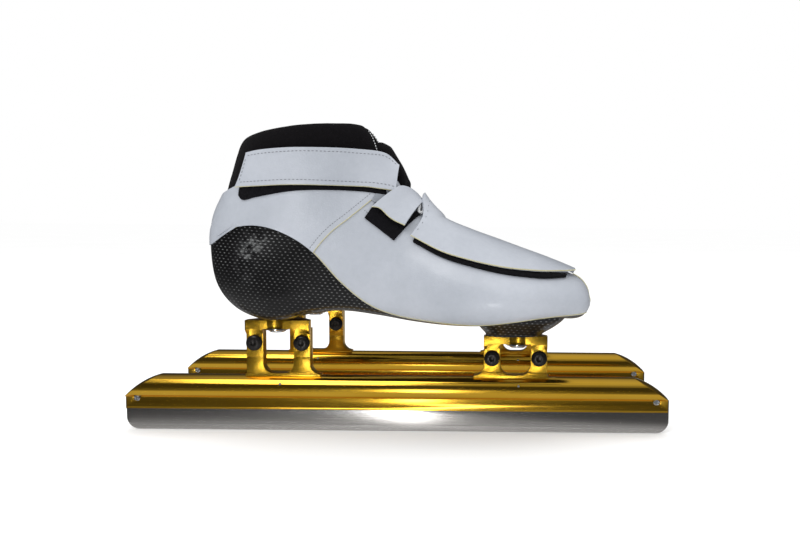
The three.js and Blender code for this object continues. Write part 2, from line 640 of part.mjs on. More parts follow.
function laceRoute() {
  const rows = 7;
  const points = [];
  for (let i = 0; i < rows; i += 1) {
    const t = 3.9 + i * 0.62;
    const side = i % 2 === 0 ? -1 : 1;
    points.push(liftedPoint(t, Math.PI + side * 0.4, 1.9));
    points.push(liftedPoint(t + 0.16, Math.PI + side * 0.43, 1.9));
    points.push(liftedPoint(t + 0.4, Math.PI, 2.1));
  }
  return new THREE.CatmullRomCurve3(points, false, 'centripetal');
}

function lace() {
  const section = new THREE.Shape().absarc(0, 0, 1.25, 0, 2 * Math.PI);
  return new THREE.ExtrudeGeometry(section, { steps: 26, extrudePath: laceRoute(), curveSegments: 2 });
}

// How far the underside and the face of each strap, tape and patch stand off the boot.
const LIFT = {
  loopBand: [0.5, 1.6], strap: [1.9, 4.1], strapAnchor: [0.8, 3], instep: [3.4, 5.4], patch: [0.3, 1.8],
  coverBand: [0.3, 3.2], cover: [3.6, 5.6],
};

const STRAP_BOTTOM = [
  [-114.5, 190.6], [-97, 192], [-77, 193.3], [-51, 193.4], [-25, 192.4], [-9, 190.6], [-0.6, 189],
];
const STRAP_TOP = [
  [-106, 216.2], [-94, 218.4], [-72, 220.3], [-50, 220.8], [-30, 220.4], [-10, 217.6], [-1.6, 207.4],
];
const ANCHOR_FRONT = 0.865 * Math.PI;
const LOOP_BAND_BOTTOM = [
  [-112.6, 185], [-109, 180.6], [-98, 182.4], [-72, 186.6], [-45, 188.8], [-22, 188.4], [-5, 186.6],
];
const LOOP_BAND_TOP = [
  [-110, 206], [-106, 207], [-96, 208], [-72, 209], [-45, 209], [-25, 206], [-10, 203],
];

// The strap's edges, from its free end at the heel's outer side to the tongue.
function strapEdge(u) {
  return [sideLine(STRAP_BOTTOM)(u), sideLine(STRAP_TOP)(u)];
}

function ankleStrap() {
  return surfacePlate(strapEdge, 14, 2, ...LIFT.strap);
}

// The strap's sewn half, on the inner side: the same band mirrored, as far back as the ankle.
function ankleStrapAnchor() {
  const mirrored = ([t, angle]) => [t, 2 * Math.PI - Math.min(angle, ANCHOR_FRONT)];
  const edge = (u) => strapEdge(0.5 + u / 2).map(mirrored);
  return surfacePlate(edge, 8, 2, ...LIFT.strapAnchor);
}

function ankleLoopBand() {
  const edge = (u) => [sideLine(LOOP_BAND_BOTTOM)(u), sideLine(LOOP_BAND_TOP)(u)];
  return surfacePlate(edge, 12, 2, ...LIFT.loopBand);
}

const INSTEP_FREE_EDGE = [[-15.5, 176.8], [9, 161.5]];       // x, z of its ends on the outer side
const INSTEP_RIDGE = [9.95, 9.15];                            // sections where it crosses the ridge
const INSTEP_ANCHOR = 1.17 * Math.PI;

function instepStrap() {
  const freeEnds = INSTEP_FREE_EDGE.map(([x, z]) => findOnSide(x, z));
  const edge = (u) => INSTEP_RIDGE.map((ridge, k) => {
    const angle = freeEnds[k][1] + (INSTEP_ANCHOR - freeEnds[k][1]) * u;
    const reach = Math.min((angle - freeEnds[k][1]) / (Math.PI - freeEnds[k][1]), 1);
    return [freeEnds[k][0] + (ridge - freeEnds[k][0]) * reach, angle];
  });
  return surfacePlate(edge, 10, 2, ...LIFT.instep);
}

function instepLoopPatch() {
  const lower = [[-20.5, 169], [1.9, 152.2]];
  const upperEnds = [[-13, 181], [16.5, 167.4]];
  const along = ([a, b], u) => findOnSide(a[0] + (b[0] - a[0]) * u, a[1] + (b[1] - a[1]) * u);
  const edge = (u) => [along(lower, u), along(upperEnds, u)];
  return surfacePlate(edge, 5, 3, ...LIFT.patch);
}

const COVER_LOWER = [[14.4, 154.5], [37, 143], [60, 136], [84, 130.8], [107, 128], [124, 127], [137, 126.2]];
const COVER = { heelRidge: 7.9, toeRidge: 2.45, anchor: 1.2 * Math.PI, straighten: 0.11 };

function coverEdge(u) {
  const lower = sideLine(COVER_LOWER)(u);
  const inner = COVER.heelRidge + (COVER.toeRidge - COVER.heelRidge) * u;
  return [lower, [inner, COVER.anchor - COVER.straighten * Math.sin(Math.PI * u)]];
}

function laceCover() {
  return surfacePlate(coverEdge, 12, 7, ...LIFT.cover);
}

// The loop tape that the cover's free edge presses on; it stands out below the edge.
function coverLoopBand() {
  const edge = (u) => {
    const [t, angle] = sideLine(raised(COVER_LOWER, -2.6))(0.02 + 0.94 * u);
    return [[t, angle], [t, angle + 0.17]];
  };
  return surfacePlate(edge, 12, 1, ...LIFT.coverBand);
}

function frontMountBlock(setback) {
  const ring = (z, x0, x1, half) => {
    const middle = (x0 + x1) / 2 + setback;
    return Array.from({ length: 16 }, (_, i) => {
      const angle = i * 2 * Math.PI / 16;
      const round = (value) => Math.sign(value) * Math.abs(value) ** 0.6;
      const along = middle + (x1 - x0) / 2 * round(Math.cos(angle));
      return new THREE.Vector3(along, half * round(Math.sin(angle)), z);
    });
  };
  const rise = FRONT_PLATE_TOP + GAP;
  const form = loft([ring(rise, 70, 113, 15), ring(rise + 2.5, 69, 115.5, 17), ring(rise + 8, 64.5, 124, 24),
    ring(rise + 14, 62, 131, 31), ring(rise + 20, 62, 134, 33)]);
  const sole = solid(bootForm(-GAP, 0, LAST_SECTION));
  return geometryOf(solid(form).subtract(sole).subtract(boltHole(FRONT, setback)));
}

// ---------------------------------------------------------------- assembly
function mirrored(geometry) {
  const copy = geometry.clone();
  copy.scale(1, -1, 1);
  return copy;
}

function mesh(name, geometry, finish) {
  const piece = new THREE.Mesh(clean(geometry), new THREE.MeshStandardMaterial(finish));
  piece.name = name;
  return piece;
}

function bladePieces() {
  const pieces = [['runner', runner(), STEEL], ['tube', tube(), GOLD]];
  for (const [place, end] of [['rear', -1], ['front', 1]]) {
    const bracket = end < 0 ? REAR : FRONT;
    pieces.push([`${place}_pin`, geometryOf(pinRod(end, PIN_RADIUS)), SILVER]);
    pieces.push([`${place}_cup`, cup(bracket), GOLD]);
    pieces.push([`${place}_bracket`, bracketSolid(bracket), GOLD]);
    pieces.push([`${place}_clamp_screw_heelward`, clampScrew(bracket, -1), BLACK_OXIDE]);
    pieces.push([`${place}_clamp_screw_toeward`, clampScrew(bracket, 1), BLACK_OXIDE]);
    pieces.push([`${place}_mounting_bolt`, mountingBolt(bracket), SILVER]);
    pieces.push([`${place}_bolt_washer`, washer(bracket), SILVER]);
  }
  return pieces;
}

function bootPieces(setback) {
  return [
    ['boot_shell', bootShell(setback), CARBON],
    ['front_mount_block', frontMountBlock(setback), CARBON],
    ['upper', upper(), WHITE_LEATHER],
    ['collar_lining', collarLining(setback), BLACK_FABRIC],
    ['tongue', tongue(), BLACK_FABRIC],
    ['insole', insole(), BLACK_FABRIC],
    ['lace', lace(), LACE_CORD],
    ['ankle_loop_band', ankleLoopBand(), BLACK_FABRIC],
    ['ankle_strap', ankleStrap(), WHITE_LEATHER],
    ['ankle_strap_anchor', ankleStrapAnchor(), WHITE_LEATHER],
    ['instep_loop_patch', instepLoopPatch(), BLACK_FABRIC],
    ['instep_strap', instepStrap(), WHITE_LEATHER],
    ['cover_loop_band', coverLoopBand(), BLACK_FABRIC],
    ['lace_cover', laceCover(), WHITE_LEATHER],
  ];
}

const group = new THREE.Group();
for (const [side, direction, setback] of [['right', -1, 0], ['left', 1, LEFT_SETBACK]]) {
  const skate = new THREE.Group();
  skate.position.y = direction * SKATE_SPACING / 2;
  for (const [name, geometry, finish] of bladePieces()) {
    skate.add(mesh(`${side}_${name}`, geometry, finish));
  }
  const boot = new THREE.Group();
  boot.position.x = -setback;
  for (const [name, geometry, finish] of bootPieces(setback)) {
    boot.add(mesh(`${side}_${name}`, direction > 0 ? mirrored(geometry) : geometry, finish));
  }
  skate.add(boot);
  group.add(skate);
}

export default group;
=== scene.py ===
"""A pair of short-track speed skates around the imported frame, in metres. The outlines are in millimetres."""

import math

import bmesh
import bpy
import numpy as np
from mathutils import Matrix, Vector


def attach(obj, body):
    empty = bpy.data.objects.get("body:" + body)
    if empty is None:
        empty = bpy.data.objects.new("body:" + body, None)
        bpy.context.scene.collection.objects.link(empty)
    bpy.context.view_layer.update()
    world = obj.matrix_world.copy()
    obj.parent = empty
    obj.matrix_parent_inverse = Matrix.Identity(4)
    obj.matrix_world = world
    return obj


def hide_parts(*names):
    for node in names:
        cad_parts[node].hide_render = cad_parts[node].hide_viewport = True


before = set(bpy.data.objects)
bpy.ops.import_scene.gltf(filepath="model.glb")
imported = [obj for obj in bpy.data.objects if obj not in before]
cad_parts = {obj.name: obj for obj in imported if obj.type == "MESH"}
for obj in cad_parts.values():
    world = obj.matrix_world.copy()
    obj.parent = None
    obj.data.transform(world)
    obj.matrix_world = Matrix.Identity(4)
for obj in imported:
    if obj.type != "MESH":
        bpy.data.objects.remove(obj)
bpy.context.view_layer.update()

MM = 0.001
SIDES = {"right": -1, "left": 1}      # which side of y = 0 each skate stands on
SKATE_Y = 54.0                        # from y = 0 to each runner's middle
SETBACK = {"right": 0.0, "left": 13.0}      # how far back each boot is bolted on its brackets

# ---- blade unit, mm
BLADE_HALF = 216.0
RUNNER_HALF_THICKNESS = 0.6
RUNNER_CORNER = 10.0
RUNNER_TOP = 29.5
RUNNER_CHAMFER = 3.0
TUBE_RADIUS = 9.5
TUBE_AXIS = 35.2
FLANGE_BOTTOM = 17.6
FLANGE_HALF = 4.4
TUBE_HALF = 214.4
TUBE_END_CUT = 28.0
TUBE_END_CROWN = 0.028                # how fast the cut falls away to the sides
TUBE_END_HEIGHT = 28.6
PIN_RADIUS = 2.45
PIN_X = 205.4
PIN_Z = 25.9
BRACKET_HALF = 25.0
PLATE_THICKNESS = 6.5
PLATE_FRONT = -7.5
PLATE_BACK = 14.0
LEG_DROP = 29.4
LEG_INNER = 12.0
LEG_FRONT = -4.0
LAP_PLANE = -0.5
GAP = 0.3
LIP_HEIGHT = 0.9                      # of the flange's foot
NOSE_RADIUS = 9.5                     # the plate's rounded nose, over the bolt,
NOSE_DEPTH = 2.2                      # and how far it stands out
SLOT_HALF = 3.45
CLAMP_BORE = 2.8
SET_PINS = {"rear": -91.0, "front": 96.0}
SET_PIN_LEAN = 23.6                   # degrees below the level of the tube's axis
CUP_BACK = 4.0
CUP_HALF = 33.0
CUP_FLARE = 8.0                       # radius of the cup's foot towards the blade's middle
CUP_END_FLARE = 1.2                   # and towards its end
CUP_CROTCH = 8.0
CLAMP_OFFSET = 18.6
CLAMP_DROP = 18.2
SCREW_RADIUS = 6.25
SCREW_HEIGHT = 3.9
SCREW_SOCKET = 2.5
BOLT_HEAD_RADIUS = 6.5
BOLT_HEAD_HEIGHT = 1.8
WASHER_RADIUS = 9.2
WASHER_THICKNESS = 1.4
BRACKETS = {
    "rear": {"centre": -93.5, "bolt": -95.0, "top": 88.8, "bolt_top": 93.6},
    "front": {"centre": 93.5, "bolt": 95.0, "top": 78.1, "bolt_top": 88.0},
}

# ---- boot form, mm
# top x, top z, bottom x, bottom z, half-width below, half-width above, roundness below, from toe to collar
SECTIONS = np.array([
    [150.5, 109.5, 150.1, 102.0, 15, 10, 0.55], [148.6, 116.5, 145.3, 95.8, 29, 21, 0.55],
    [143.0, 123.4, 137.5, 93.4, 38, 28, 0.55], [132.8, 128.4, 123.5, 93.8, 46, 33, 0.55],
    [115.0, 135.4, 107.0, 92.6, 53, 37, 0.55], [97.0, 141.8, 88.0, 89.8, 57.5, 37, 0.55],
    [77.0, 149.0, 66.0, 87.4, 58, 35, 0.55], [55.0, 156.8, 40.0, 87.7, 54, 32, 0.55],
    [36.0, 164.8, 14.0, 90.2, 47, 29, 0.55], [21.5, 175.0, -12.0, 94.2, 41, 26, 0.55],
    [10.5, 186.5, -40.0, 97.2, 37, 25, 0.55], [5.5, 196.0, -65.0, 94.6, 35, 25.5, 0.55],
    [2.8, 203.0, -86.0, 89.5, 34, 26.5, 0.55], [0.0, 208.5, -104.0, 89.4, 33.5, 27.5, 0.62],
    [-3.0, 213.5, -125.5, 98.2, 32.5, 28, 0.75], [-6.0, 218.5, -140.3, 115.4, 33, 29, 0.92],
    [-9.0, 223.0, -145.0, 140.5, 33.5, 30, 0.92], [-12.5, 228.0, -143.2, 167.0, 33.5, 31, 0.92],
    [-16.0, 233.0, -133.4, 189.6, 33, 31.5, 0.92], [-20.0, 238.5, -125.8, 209.0, 32.5, 32, 0.92],
    [-24.5, 244.0, -120.1, 229.0, 31.5, 31.5, 0.92], [-30.0, 252.0, -117.0, 246.0, 31, 31, 0.92],
])
LAST = len(SECTIONS) - 1
ROUNDNESS_ABOVE = 0.85
CARBON_LINE = [
    (-160, 145), (-148, 147), (-137, 150), (-122, 160.5), (-101, 163.5), (-80, 158), (-59, 144.5),
    (-38, 122), (-17, 105), (4.5, 96.8), (35, 92.6), (66, 91), (92, 93.6), (125, 98), (162, 100),
]
QUARTER_TOP = [
    (-160, 176), (-131, 187.5), (-116, 198.5), (-100, 200), (-60, 197), (-10, 197), (40, 200), (165, 200),
]
COLLAR_TOP = [
    (-122.5, 227.5), (-119, 229), (-108.5, 233.6), (-92, 236.8), (-71, 239), (-45, 240.6),
    (-30.4, 241.2), (-22.5, 240), (-17, 236.5), (-13.5, 231.5), (-11, 224),
]


def section_at(t):
    """The section values at t, which may be an array."""
    t = np.asarray(t, float)
    i = np.clip(np.floor(t).astype(int), 0, LAST - 1)
    f = (t - i)[..., None]
    a, b, c, d = (SECTIONS[np.clip(i + k, 0, LAST)] for k in (-1, 0, 1, 2))
    turn = f * f * (3 - 2 * f)
    leaving = (c - a) / 2
    arriving = (d - b) / 2
    return b * (1 - turn) + c * turn + leaving * f * (1 - f) ** 2 - arriving * f * f * (1 - f)


def skin(t, angle, inset=0.0):
    """Points of the boot's outside. The angle is 0 underneath and pi on top, by the outer side."""
    t, angle = np.broadcast_arrays(np.asarray(t, float), np.asarray(angle, float))
    top_x, top_z, low_x, low_z, below, above, roundness = np.moveaxis(section_at(t), -1, 0)
    length = np.hypot(top_x - low_x, top_z - low_z)
    rise = (1 - np.cos(angle)) / 2
    along = 0.5 + (rise - 0.5) * (1 - 2 * inset / length)
    power = roundness + (ROUNDNESS_ABOVE - roundness) * rise
    half = below + (above - below) * rise - inset
    sine = np.sin(angle)
    y = -half * np.sign(sine) * np.abs(sine) ** power
    return np.stack([low_x + (top_x - low_x) * along, y, low_z + (top_z - low_z) * along], -1)


def lifted(t, angle, lift):
    """The same points moved off the surface along its normal."""
    step = 0.04
    t, angle = np.broadcast_arrays(np.asarray(t, float), np.asarray(angle, float))
    point = skin(t, angle)
    along = skin(t + step, angle) - skin(t - step, angle)
    around = skin(t, angle + step) - skin(t, angle - step)
    normal = np.cross(along, around)
    normal /= np.linalg.norm(normal, axis=-1, keepdims=True) + 1e-12
    top_x, top_z, low_x, low_z = np.moveaxis(section_at(t), -1, 0)[:4]
    middle = np.stack([(top_x + low_x) / 2, 0 * t, (top_z + low_z) / 2], -1)
    outward = np.sum(normal * (point - middle), -1, keepdims=True)
    return point + np.where(outward < 0, -normal, normal) * np.asarray(lift, float)[..., None]


def on_side(x, z):
    """The section and angle of the outer side's points that a side view shows at (x, z)."""
    x, z = np.asarray(x, float), np.asarray(z, float)
    low, high = np.full(x.shape, 0.0), np.full(x.shape, float(LAST))
    for _ in range(40):
        middle = (low + high) / 2
        top_x, top_z, low_x, low_z = np.moveaxis(section_at(middle), -1, 0)[:4]
        ahead = (top_x - low_x) * (z - low_z) - (top_z - low_z) * (x - low_x) > 0
        low = np.where(ahead, middle, low)
        high = np.where(ahead, high, middle)
    top_x, top_z, low_x, low_z = np.moveaxis(section_at(low), -1, 0)[:4]
    run_x, run_z = top_x - low_x, top_z - low_z
    rise = ((x - low_x) * run_x + (z - low_z) * run_z) / (run_x ** 2 + run_z ** 2)
    return low, np.arccos(1 - 2 * np.clip(rise, 0, 1))


def spline(points, u):
    """Points along a smooth line through the given ones, at u from 0 to 1."""
    points = np.asarray(points, float)
    place = np.asarray(u, float) * (len(points) - 1)
    i = np.clip(np.floor(place).astype(int), 0, len(points) - 2)
    f = (place - i)[..., None]
    a, b, c, d = (points[np.clip(i + k, 0, len(points) - 1)] for k in (-1, 0, 1, 2))
    return 0.5 * (2 * b + (c - a) * f + (2 * a - 5 * b + 4 * c - d) * f ** 2
                  + (3 * b - a - 3 * c + d) * f ** 3)


def side_line(points, u):
    """Section and angle along a side outline."""
    place = spline(points, u)
    return on_side(place[..., 0], place[..., 1])


def crossing_angle(line, t):
    """The angle where each section crosses a side outline, measured up from underneath."""
    dense = spline(line, np.linspace(0, 1, 600))
    angles = np.linspace(0, math.pi, 721)
    result = []
    for value in np.atleast_1d(t):
        points = skin(value, angles)
        over = points[:, 2] - np.interp(points[:, 0], dense[:, 0], dense[:, 1])
        k = int(np.argmax(over > 0))
        if over[k] <= 0:
            result.append(math.pi)
        elif k == 0:
            result.append(0.0)
        else:
            result.append(float(np.interp(0, over[k - 1:k + 1], angles[k - 1:k + 1])))
    return np.array(result)


# ---- meshes
def new_object(name, mesh):
    obj = bpy.data.objects.new(name, mesh)
    bpy.context.scene.collection.objects.link(obj)
    return obj


def from_bmesh(bm, name="piece", turn_out=False):
    """Ends a bmesh as an object, with its faces turned outwards first if asked."""
    if turn_out:
        bmesh.ops.recalc_face_normals(bm, faces=bm.faces)
    mesh = bpy.data.meshes.new(name)
    bm.to_mesh(mesh)
    bm.free()
    return new_object(name, mesh)


def settle(obj, sharp=35.0):
    """Applies the object's modifiers and marks its sharp edges."""
    graph = bpy.context.evaluated_depsgraph_get()
    mesh = bpy.data.meshes.new_from_object(obj.evaluated_get(graph))
    old = obj.data
    obj.modifiers.clear()
    obj.data = mesh
    bpy.data.meshes.remove(old)
    mesh.shade_smooth()
    mesh.set_sharp_from_angle(angle=math.radians(sharp))
    return obj


def modify(obj, kind, **settings):
    """Adds a modifier with these settings."""
    mod = obj.modifiers.new(kind, kind)
    for key, value in settings.items():
        setattr(mod, key, value)
    return obj


def bevelled(obj, width, segments=3, angle=32.0):
    return modify(obj, "BEVEL", width=width * MM, segments=segments, limit_method="ANGLE",
                  angle_limit=math.radians(angle), use_clamp_overlap=True)


def combine(obj, others, operation):
    """Joins, cuts or intersects obj with the others, which are used up."""
    for other in others:
        modify(obj, "BOOLEAN", operation=operation, object=other, solver="EXACT")
    settle(obj)
    for other in others:
        bpy.data.objects.remove(other)
    return obj


def weave(bm, rows, closed=False):
    """Fills in the faces between rows of corners. Closed rows run round into rings."""
    for first, second in zip(rows, rows[1:]):
        for k in range(len(first) if closed else len(first) - 1):
            j = (k + 1) % len(first)
            bm.faces.new((first[k], first[j], second[j], second[k]))


def loft(rings):
    """A solid through equal rings of points in mm, with flat ends."""
    bm = bmesh.new()
    loops = [[bm.verts.new(np.asarray(point) * MM) for point in ring] for ring in rings]
    bm.faces.new(loops[0])
    bm.faces.new(loops[-1])
    weave(bm, loops, closed=True)
    return from_bmesh(bm, turn_out=True)


def prism(outline, axis, low, high):
    """A flat outline run along an axis. The outline's two numbers are the other axes, in order."""
    at = "xyz".index(axis)
    return loft([[(*point[:at], end, *point[at:]) for point in outline] for end in (low, high)])


def block(low, high):
    corners = [(low[0], low[1]), (high[0], low[1]), (high[0], high[1]), (low[0], high[1])]
    return prism(corners, "z", low[2], high[2])


def turned(profile, axis, centre, segments=48):
    """A profile of (radius, place along the axis) turned about it."""
    bm = bmesh.new()
    rings = []
    for radius, place in profile:
        ring = []
        for k in range(1 if radius == 0 else segments):
            angle = 2 * math.pi * k / segments
            a, b = radius * math.cos(angle), radius * math.sin(angle)
            spot = (a, place, b) if axis == "y" else (a, b, place)
            ring.append(bm.verts.new([(s + c) * MM for s, c in zip(spot, centre)]))
        rings.append(ring)
    for first, second in zip(rings, rings[1:]):
        for k in range(segments):
            j = k + 1
            corners = [ring[i % len(ring)] for ring, i in ((first, k), (first, j), (second, j), (second, k))]
            unique = list(dict.fromkeys(corners))
            if len(unique) > 2:
                bm.faces.new(unique)
    return from_bmesh(bm, turn_out=True)


def arc(x, y, radius, start, end, steps=20):
    angles = np.radians(np.linspace(start, end, steps + 1))
    return [(x + radius * math.cos(a), y + radius * math.sin(a)) for a in angles]


# ---- materials
class Graph:
    """The nodes of a material or a world, with short calls for the ones used here."""

    def __init__(self, owner):
        owner.use_nodes = True
        self.owner = owner
        self.tree = owner.node_tree

    def node(self, kind, inputs=(), **settings):
        node = self.tree.nodes.new(kind)
        for key, value in settings.items():
            setattr(node, key, value)
        for key, value in dict(inputs).items():
            self.feed(node.inputs[key], value)
        return node

    def feed(self, socket, value):
        if isinstance(value, bpy.types.NodeSocket):
            self.tree.links.new(value, socket)
        else:
            socket.default_value = value

    def math(self, operation, a, b=0.0, c=0.0):
        return self.node("ShaderNodeMath", {0: a, 1: b, 2: c}, operation=operation).outputs[0]

    def mul(self, a, b):
        return self.math("MULTIPLY", a, b)

    def add(self, a, b):
        return self.math("ADD", a, b)

    def mad(self, a, b, c):
        """a times b, plus c."""
        return self.math("MULTIPLY_ADD", a, b, c)

    def squares(self, a, b):
        return self.add(self.mul(a, a), self.mul(b, b))

    def bell(self, square):
        """A smooth hill of height 1, from a distance's square."""
        return self.math("EXPONENT", self.mul(square, -1.0))

    def split(self, vector):
        return self.node("ShaderNodeSeparateXYZ", {0: vector}).outputs

    def noise(self, scale, detail=3.0, roughness=0.5, stretch=(1, 1, 1)):
        inputs = {"Vector": self.place(stretch), "Scale": scale, "Detail": detail, "Roughness": roughness}
        return self.node("ShaderNodeTexNoise", inputs).outputs["Fac"]

    def cells(self, scale, feature="F1"):
        inputs = {"Vector": self.place(), "Scale": scale}
        return self.node("ShaderNodeTexVoronoi", inputs, feature=feature).outputs["Distance"]

    def place(self, stretch=(1, 1, 1)):
        """Object coordinates, stretched."""
        source = self.node("ShaderNodeTexCoord").outputs["Object"]
        return self.node("ShaderNodeMapping", {"Vector": source, "Scale": stretch}).outputs[0]

    def ramp(self, value, stops):
        node = self.node("ShaderNodeValToRGB", {"Fac": value})
        elements = node.color_ramp.elements
        while len(elements) < len(stops):
            elements.new(0.5)
        for element, (position, colour) in zip(elements, stops):
            element.position = position
            element.color = (*colour, 1)
        return node.outputs["Color"]

    def bump(self, height, strength, distance):
        inputs = {"Height": height, "Strength": strength, "Distance": distance}
        return self.node("ShaderNodeBump", inputs).outputs["Normal"]

    def set(self, **values):
        for key, value in values.items():
            self.feed(self.tree.nodes["Principled BSDF"].inputs[key.replace("_", " ")], value)
        return self.owner


def material_graph(name):
    return Graph(bpy.data.materials.new(name))


def grey(value):
    return (value, value, value)


def metal_material(name, dark, light, roughness, stretch, streak):
    """Metal with fine streaks along its run, and small changes of tone."""
    g = material_graph(name)
    streaks = g.noise(1.0, 4.0, 0.6, stretch)
    patches = g.noise(26.0, 2.0)
    tone = g.mad(streaks, 0.6, g.mul(patches, 0.4))
    low, high = roughness
    rough = g.mad(streaks, high - low, low)
    return g.set(Base_Color=g.ramp(tone, [(0.3, dark), (0.7, light)]), Metallic=1.0, Roughness=rough,
                 Normal=g.bump(streaks, streak, 0.0002))


def grained_material(name, grain, colours, rough, bump, patches=None, stops=(0.3, 0.7), **values):
    """A fine grain, which the colours follow unless there are patches too."""
    g = material_graph(name)
    fine = g.noise(*grain)
    colour = g.ramp(g.noise(*patches) if patches else fine, list(zip(stops, colours)))
    if patches:
        rough = g.mad(fine, *rough)
    return g.set(Base_Color=colour, Roughness=rough, Normal=g.bump(fine, *bump), **values)


GROUND_EDGE = 4.6                      # how high the runner's freshly ground band reaches


def steel_material():
    g = material_graph("blade_steel")
    lines = g.noise(1.0, 3.0, 0.55, (5, 100, 2600))
    specks = g.math("LESS_THAN", g.cells(420.0), 0.05)
    ground = g.math("LESS_THAN", g.split(g.place())["Z"], GROUND_EDGE * MM)
    tone = g.add(g.mul(lines, 0.5), g.mul(ground, 0.12))
    tone = g.add(tone, g.mul(specks, 0.2))
    colour = g.ramp(tone, [(0.1, (0.46, 0.44, 0.42)), (0.7, (0.64, 0.625, 0.605))])
    rough = g.mad(lines, 0.12, g.mad(ground, 0.08, 0.12))
    return g.set(Base_Color=colour, Metallic=1.0, Roughness=rough, Normal=g.bump(lines, 0.12, 0.0001))


# The cloth's repeat along and up, and how short and thin each tow's fleck is in it: a painted glint, lightened
# in the colour.
WEAVE_REPEAT = (4.0, 2.3)
FLECK = (3.4, 4.0)
# Painted highlights: pale patches of light mirrored in the heel's varnish, as x, z and half sizes.
CARBON_PAINTED_HIGHLIGHTS = [(-98, 151, 12, 9), (-112, 134, 7, 14), (-104, 144, 8, 9)]


def carbon_material():
    """Twill cloth under clear varnish: dark, with a staggered fleck of painted glint where each tow comes up,
    and patches of painted highlight on the heel.
    """
    g = material_graph("carbon")
    repeat = (1 / WEAVE_REPEAT[0], 1 / WEAVE_REPEAT[1], 1)
    uv = g.node("ShaderNodeTexCoord").outputs["UV"]
    turned_uv = g.node("ShaderNodeMapping", {"Vector": uv, "Scale": repeat, "Rotation": (0, 0, 0.12)})
    cloth = g.split(turned_uv.outputs[0])
    row = g.math("FLOOR", cloth["Y"])
    along = g.math("FRACT", g.mad(row, 0.5, cloth["X"]))
    along, up = (g.mul(g.math("SUBTRACT", value, 0.5), size)
                 for value, size in zip((along, g.math("FRACT", cloth["Y"])), FLECK))
    fleck = g.math("MAXIMUM", g.math("SUBTRACT", 1.0, g.squares(along, up)), 0.0)
    # Painted glint: each tow's fleck lightens the colour, and fine noise breaks up its strength.
    glint_breakup = g.mul(g.noise(700.0, 2.0), g.noise(45.0, 3.0))
    tone = g.mul(fleck, g.mad(glint_breakup, 2.6, 0.05))
    # Painted highlight: these patches of mirrored light lighten the colour, and noise breaks them up.
    spot, highlight_spots = g.split(g.place()), 0.0
    for x, z, wide, high in CARBON_PAINTED_HIGHLIGHTS:
        dx, dz = (g.math("DIVIDE", g.math("SUBTRACT", spot[axis], middle * MM), half * MM)
                  for axis, middle, half in (("X", x, wide), ("Z", z, high)))
        highlight_spots = g.add(g.bell(g.squares(dx, dz)), highlight_spots)
    highlight_breakup = g.mul(g.math("SUBTRACT", g.noise(110.0, 7.0, 0.75), 0.42), 3.2)
    painted_highlight = g.mul(highlight_spots, g.math("MINIMUM", g.math("MAXIMUM", highlight_breakup, 0.0), 1.0))
    tone = g.add(tone, g.mul(painted_highlight, 0.95))
    colour = g.ramp(tone, [(0.0, (0.003, 0.003, 0.0035)), (0.35, (0.014, 0.014, 0.015)),
                           (1.0, (0.17, 0.175, 0.175))])
    return g.set(Base_Color=colour, Metallic=0.0, Roughness=g.mad(fleck, -0.1, 0.4),
                 Normal=g.bump(fleck, 0.25, 0.0003), Specular_IOR_Level=0.15, Coat_Weight=0.5,
                 Coat_Roughness=0.06)


def leather_material(name, dark, light):
    g = material_graph(name)
    pebble = g.cells(900.0, "SMOOTH_F1")
    crease = g.noise(240.0, 5.0, 0.6)
    tint = g.noise(18.0, 3.0)
    tone = g.mad(crease, 0.25, g.mul(tint, 0.75))
    height = g.mad(crease, 0.8, pebble)
    return g.set(Base_Color=g.ramp(tone, [(0.3, dark), (0.7, light)]), Coat_Weight=0.25, Coat_Roughness=0.15,
                 Roughness=g.mad(pebble, 0.2, 0.26), Normal=g.bump(height, 0.22, 0.0004))


def fabric_material(name, dark, light, scale):
    """A knitted lining: small cells, a soft nap and some lint."""
    g = material_graph(name)
    knit = g.cells(scale)
    nap = g.noise(380.0, 5.0, 0.7)
    lint = g.math("GREATER_THAN", g.noise(2600.0, 1.0), 0.74)
    tone = g.mad(nap, 0.6, g.mul(knit, 0.4))
    tone = g.add(tone, g.mul(lint, 0.3))
    height = g.mad(nap, 0.7, knit)
    return g.set(Base_Color=g.ramp(tone, [(0.25, dark), (0.9, light)]), Roughness=0.93,
                 Normal=g.bump(height, 0.55, 0.0005), Sheen_Weight=0.02, Sheen_Roughness=0.5,
                 Specular_IOR_Level=0.1)


def thread_material(name, dark, light):
    return grained_material(name, (3000.0, 2.0), (dark, light), 0.75, (0.4, 0.0001))


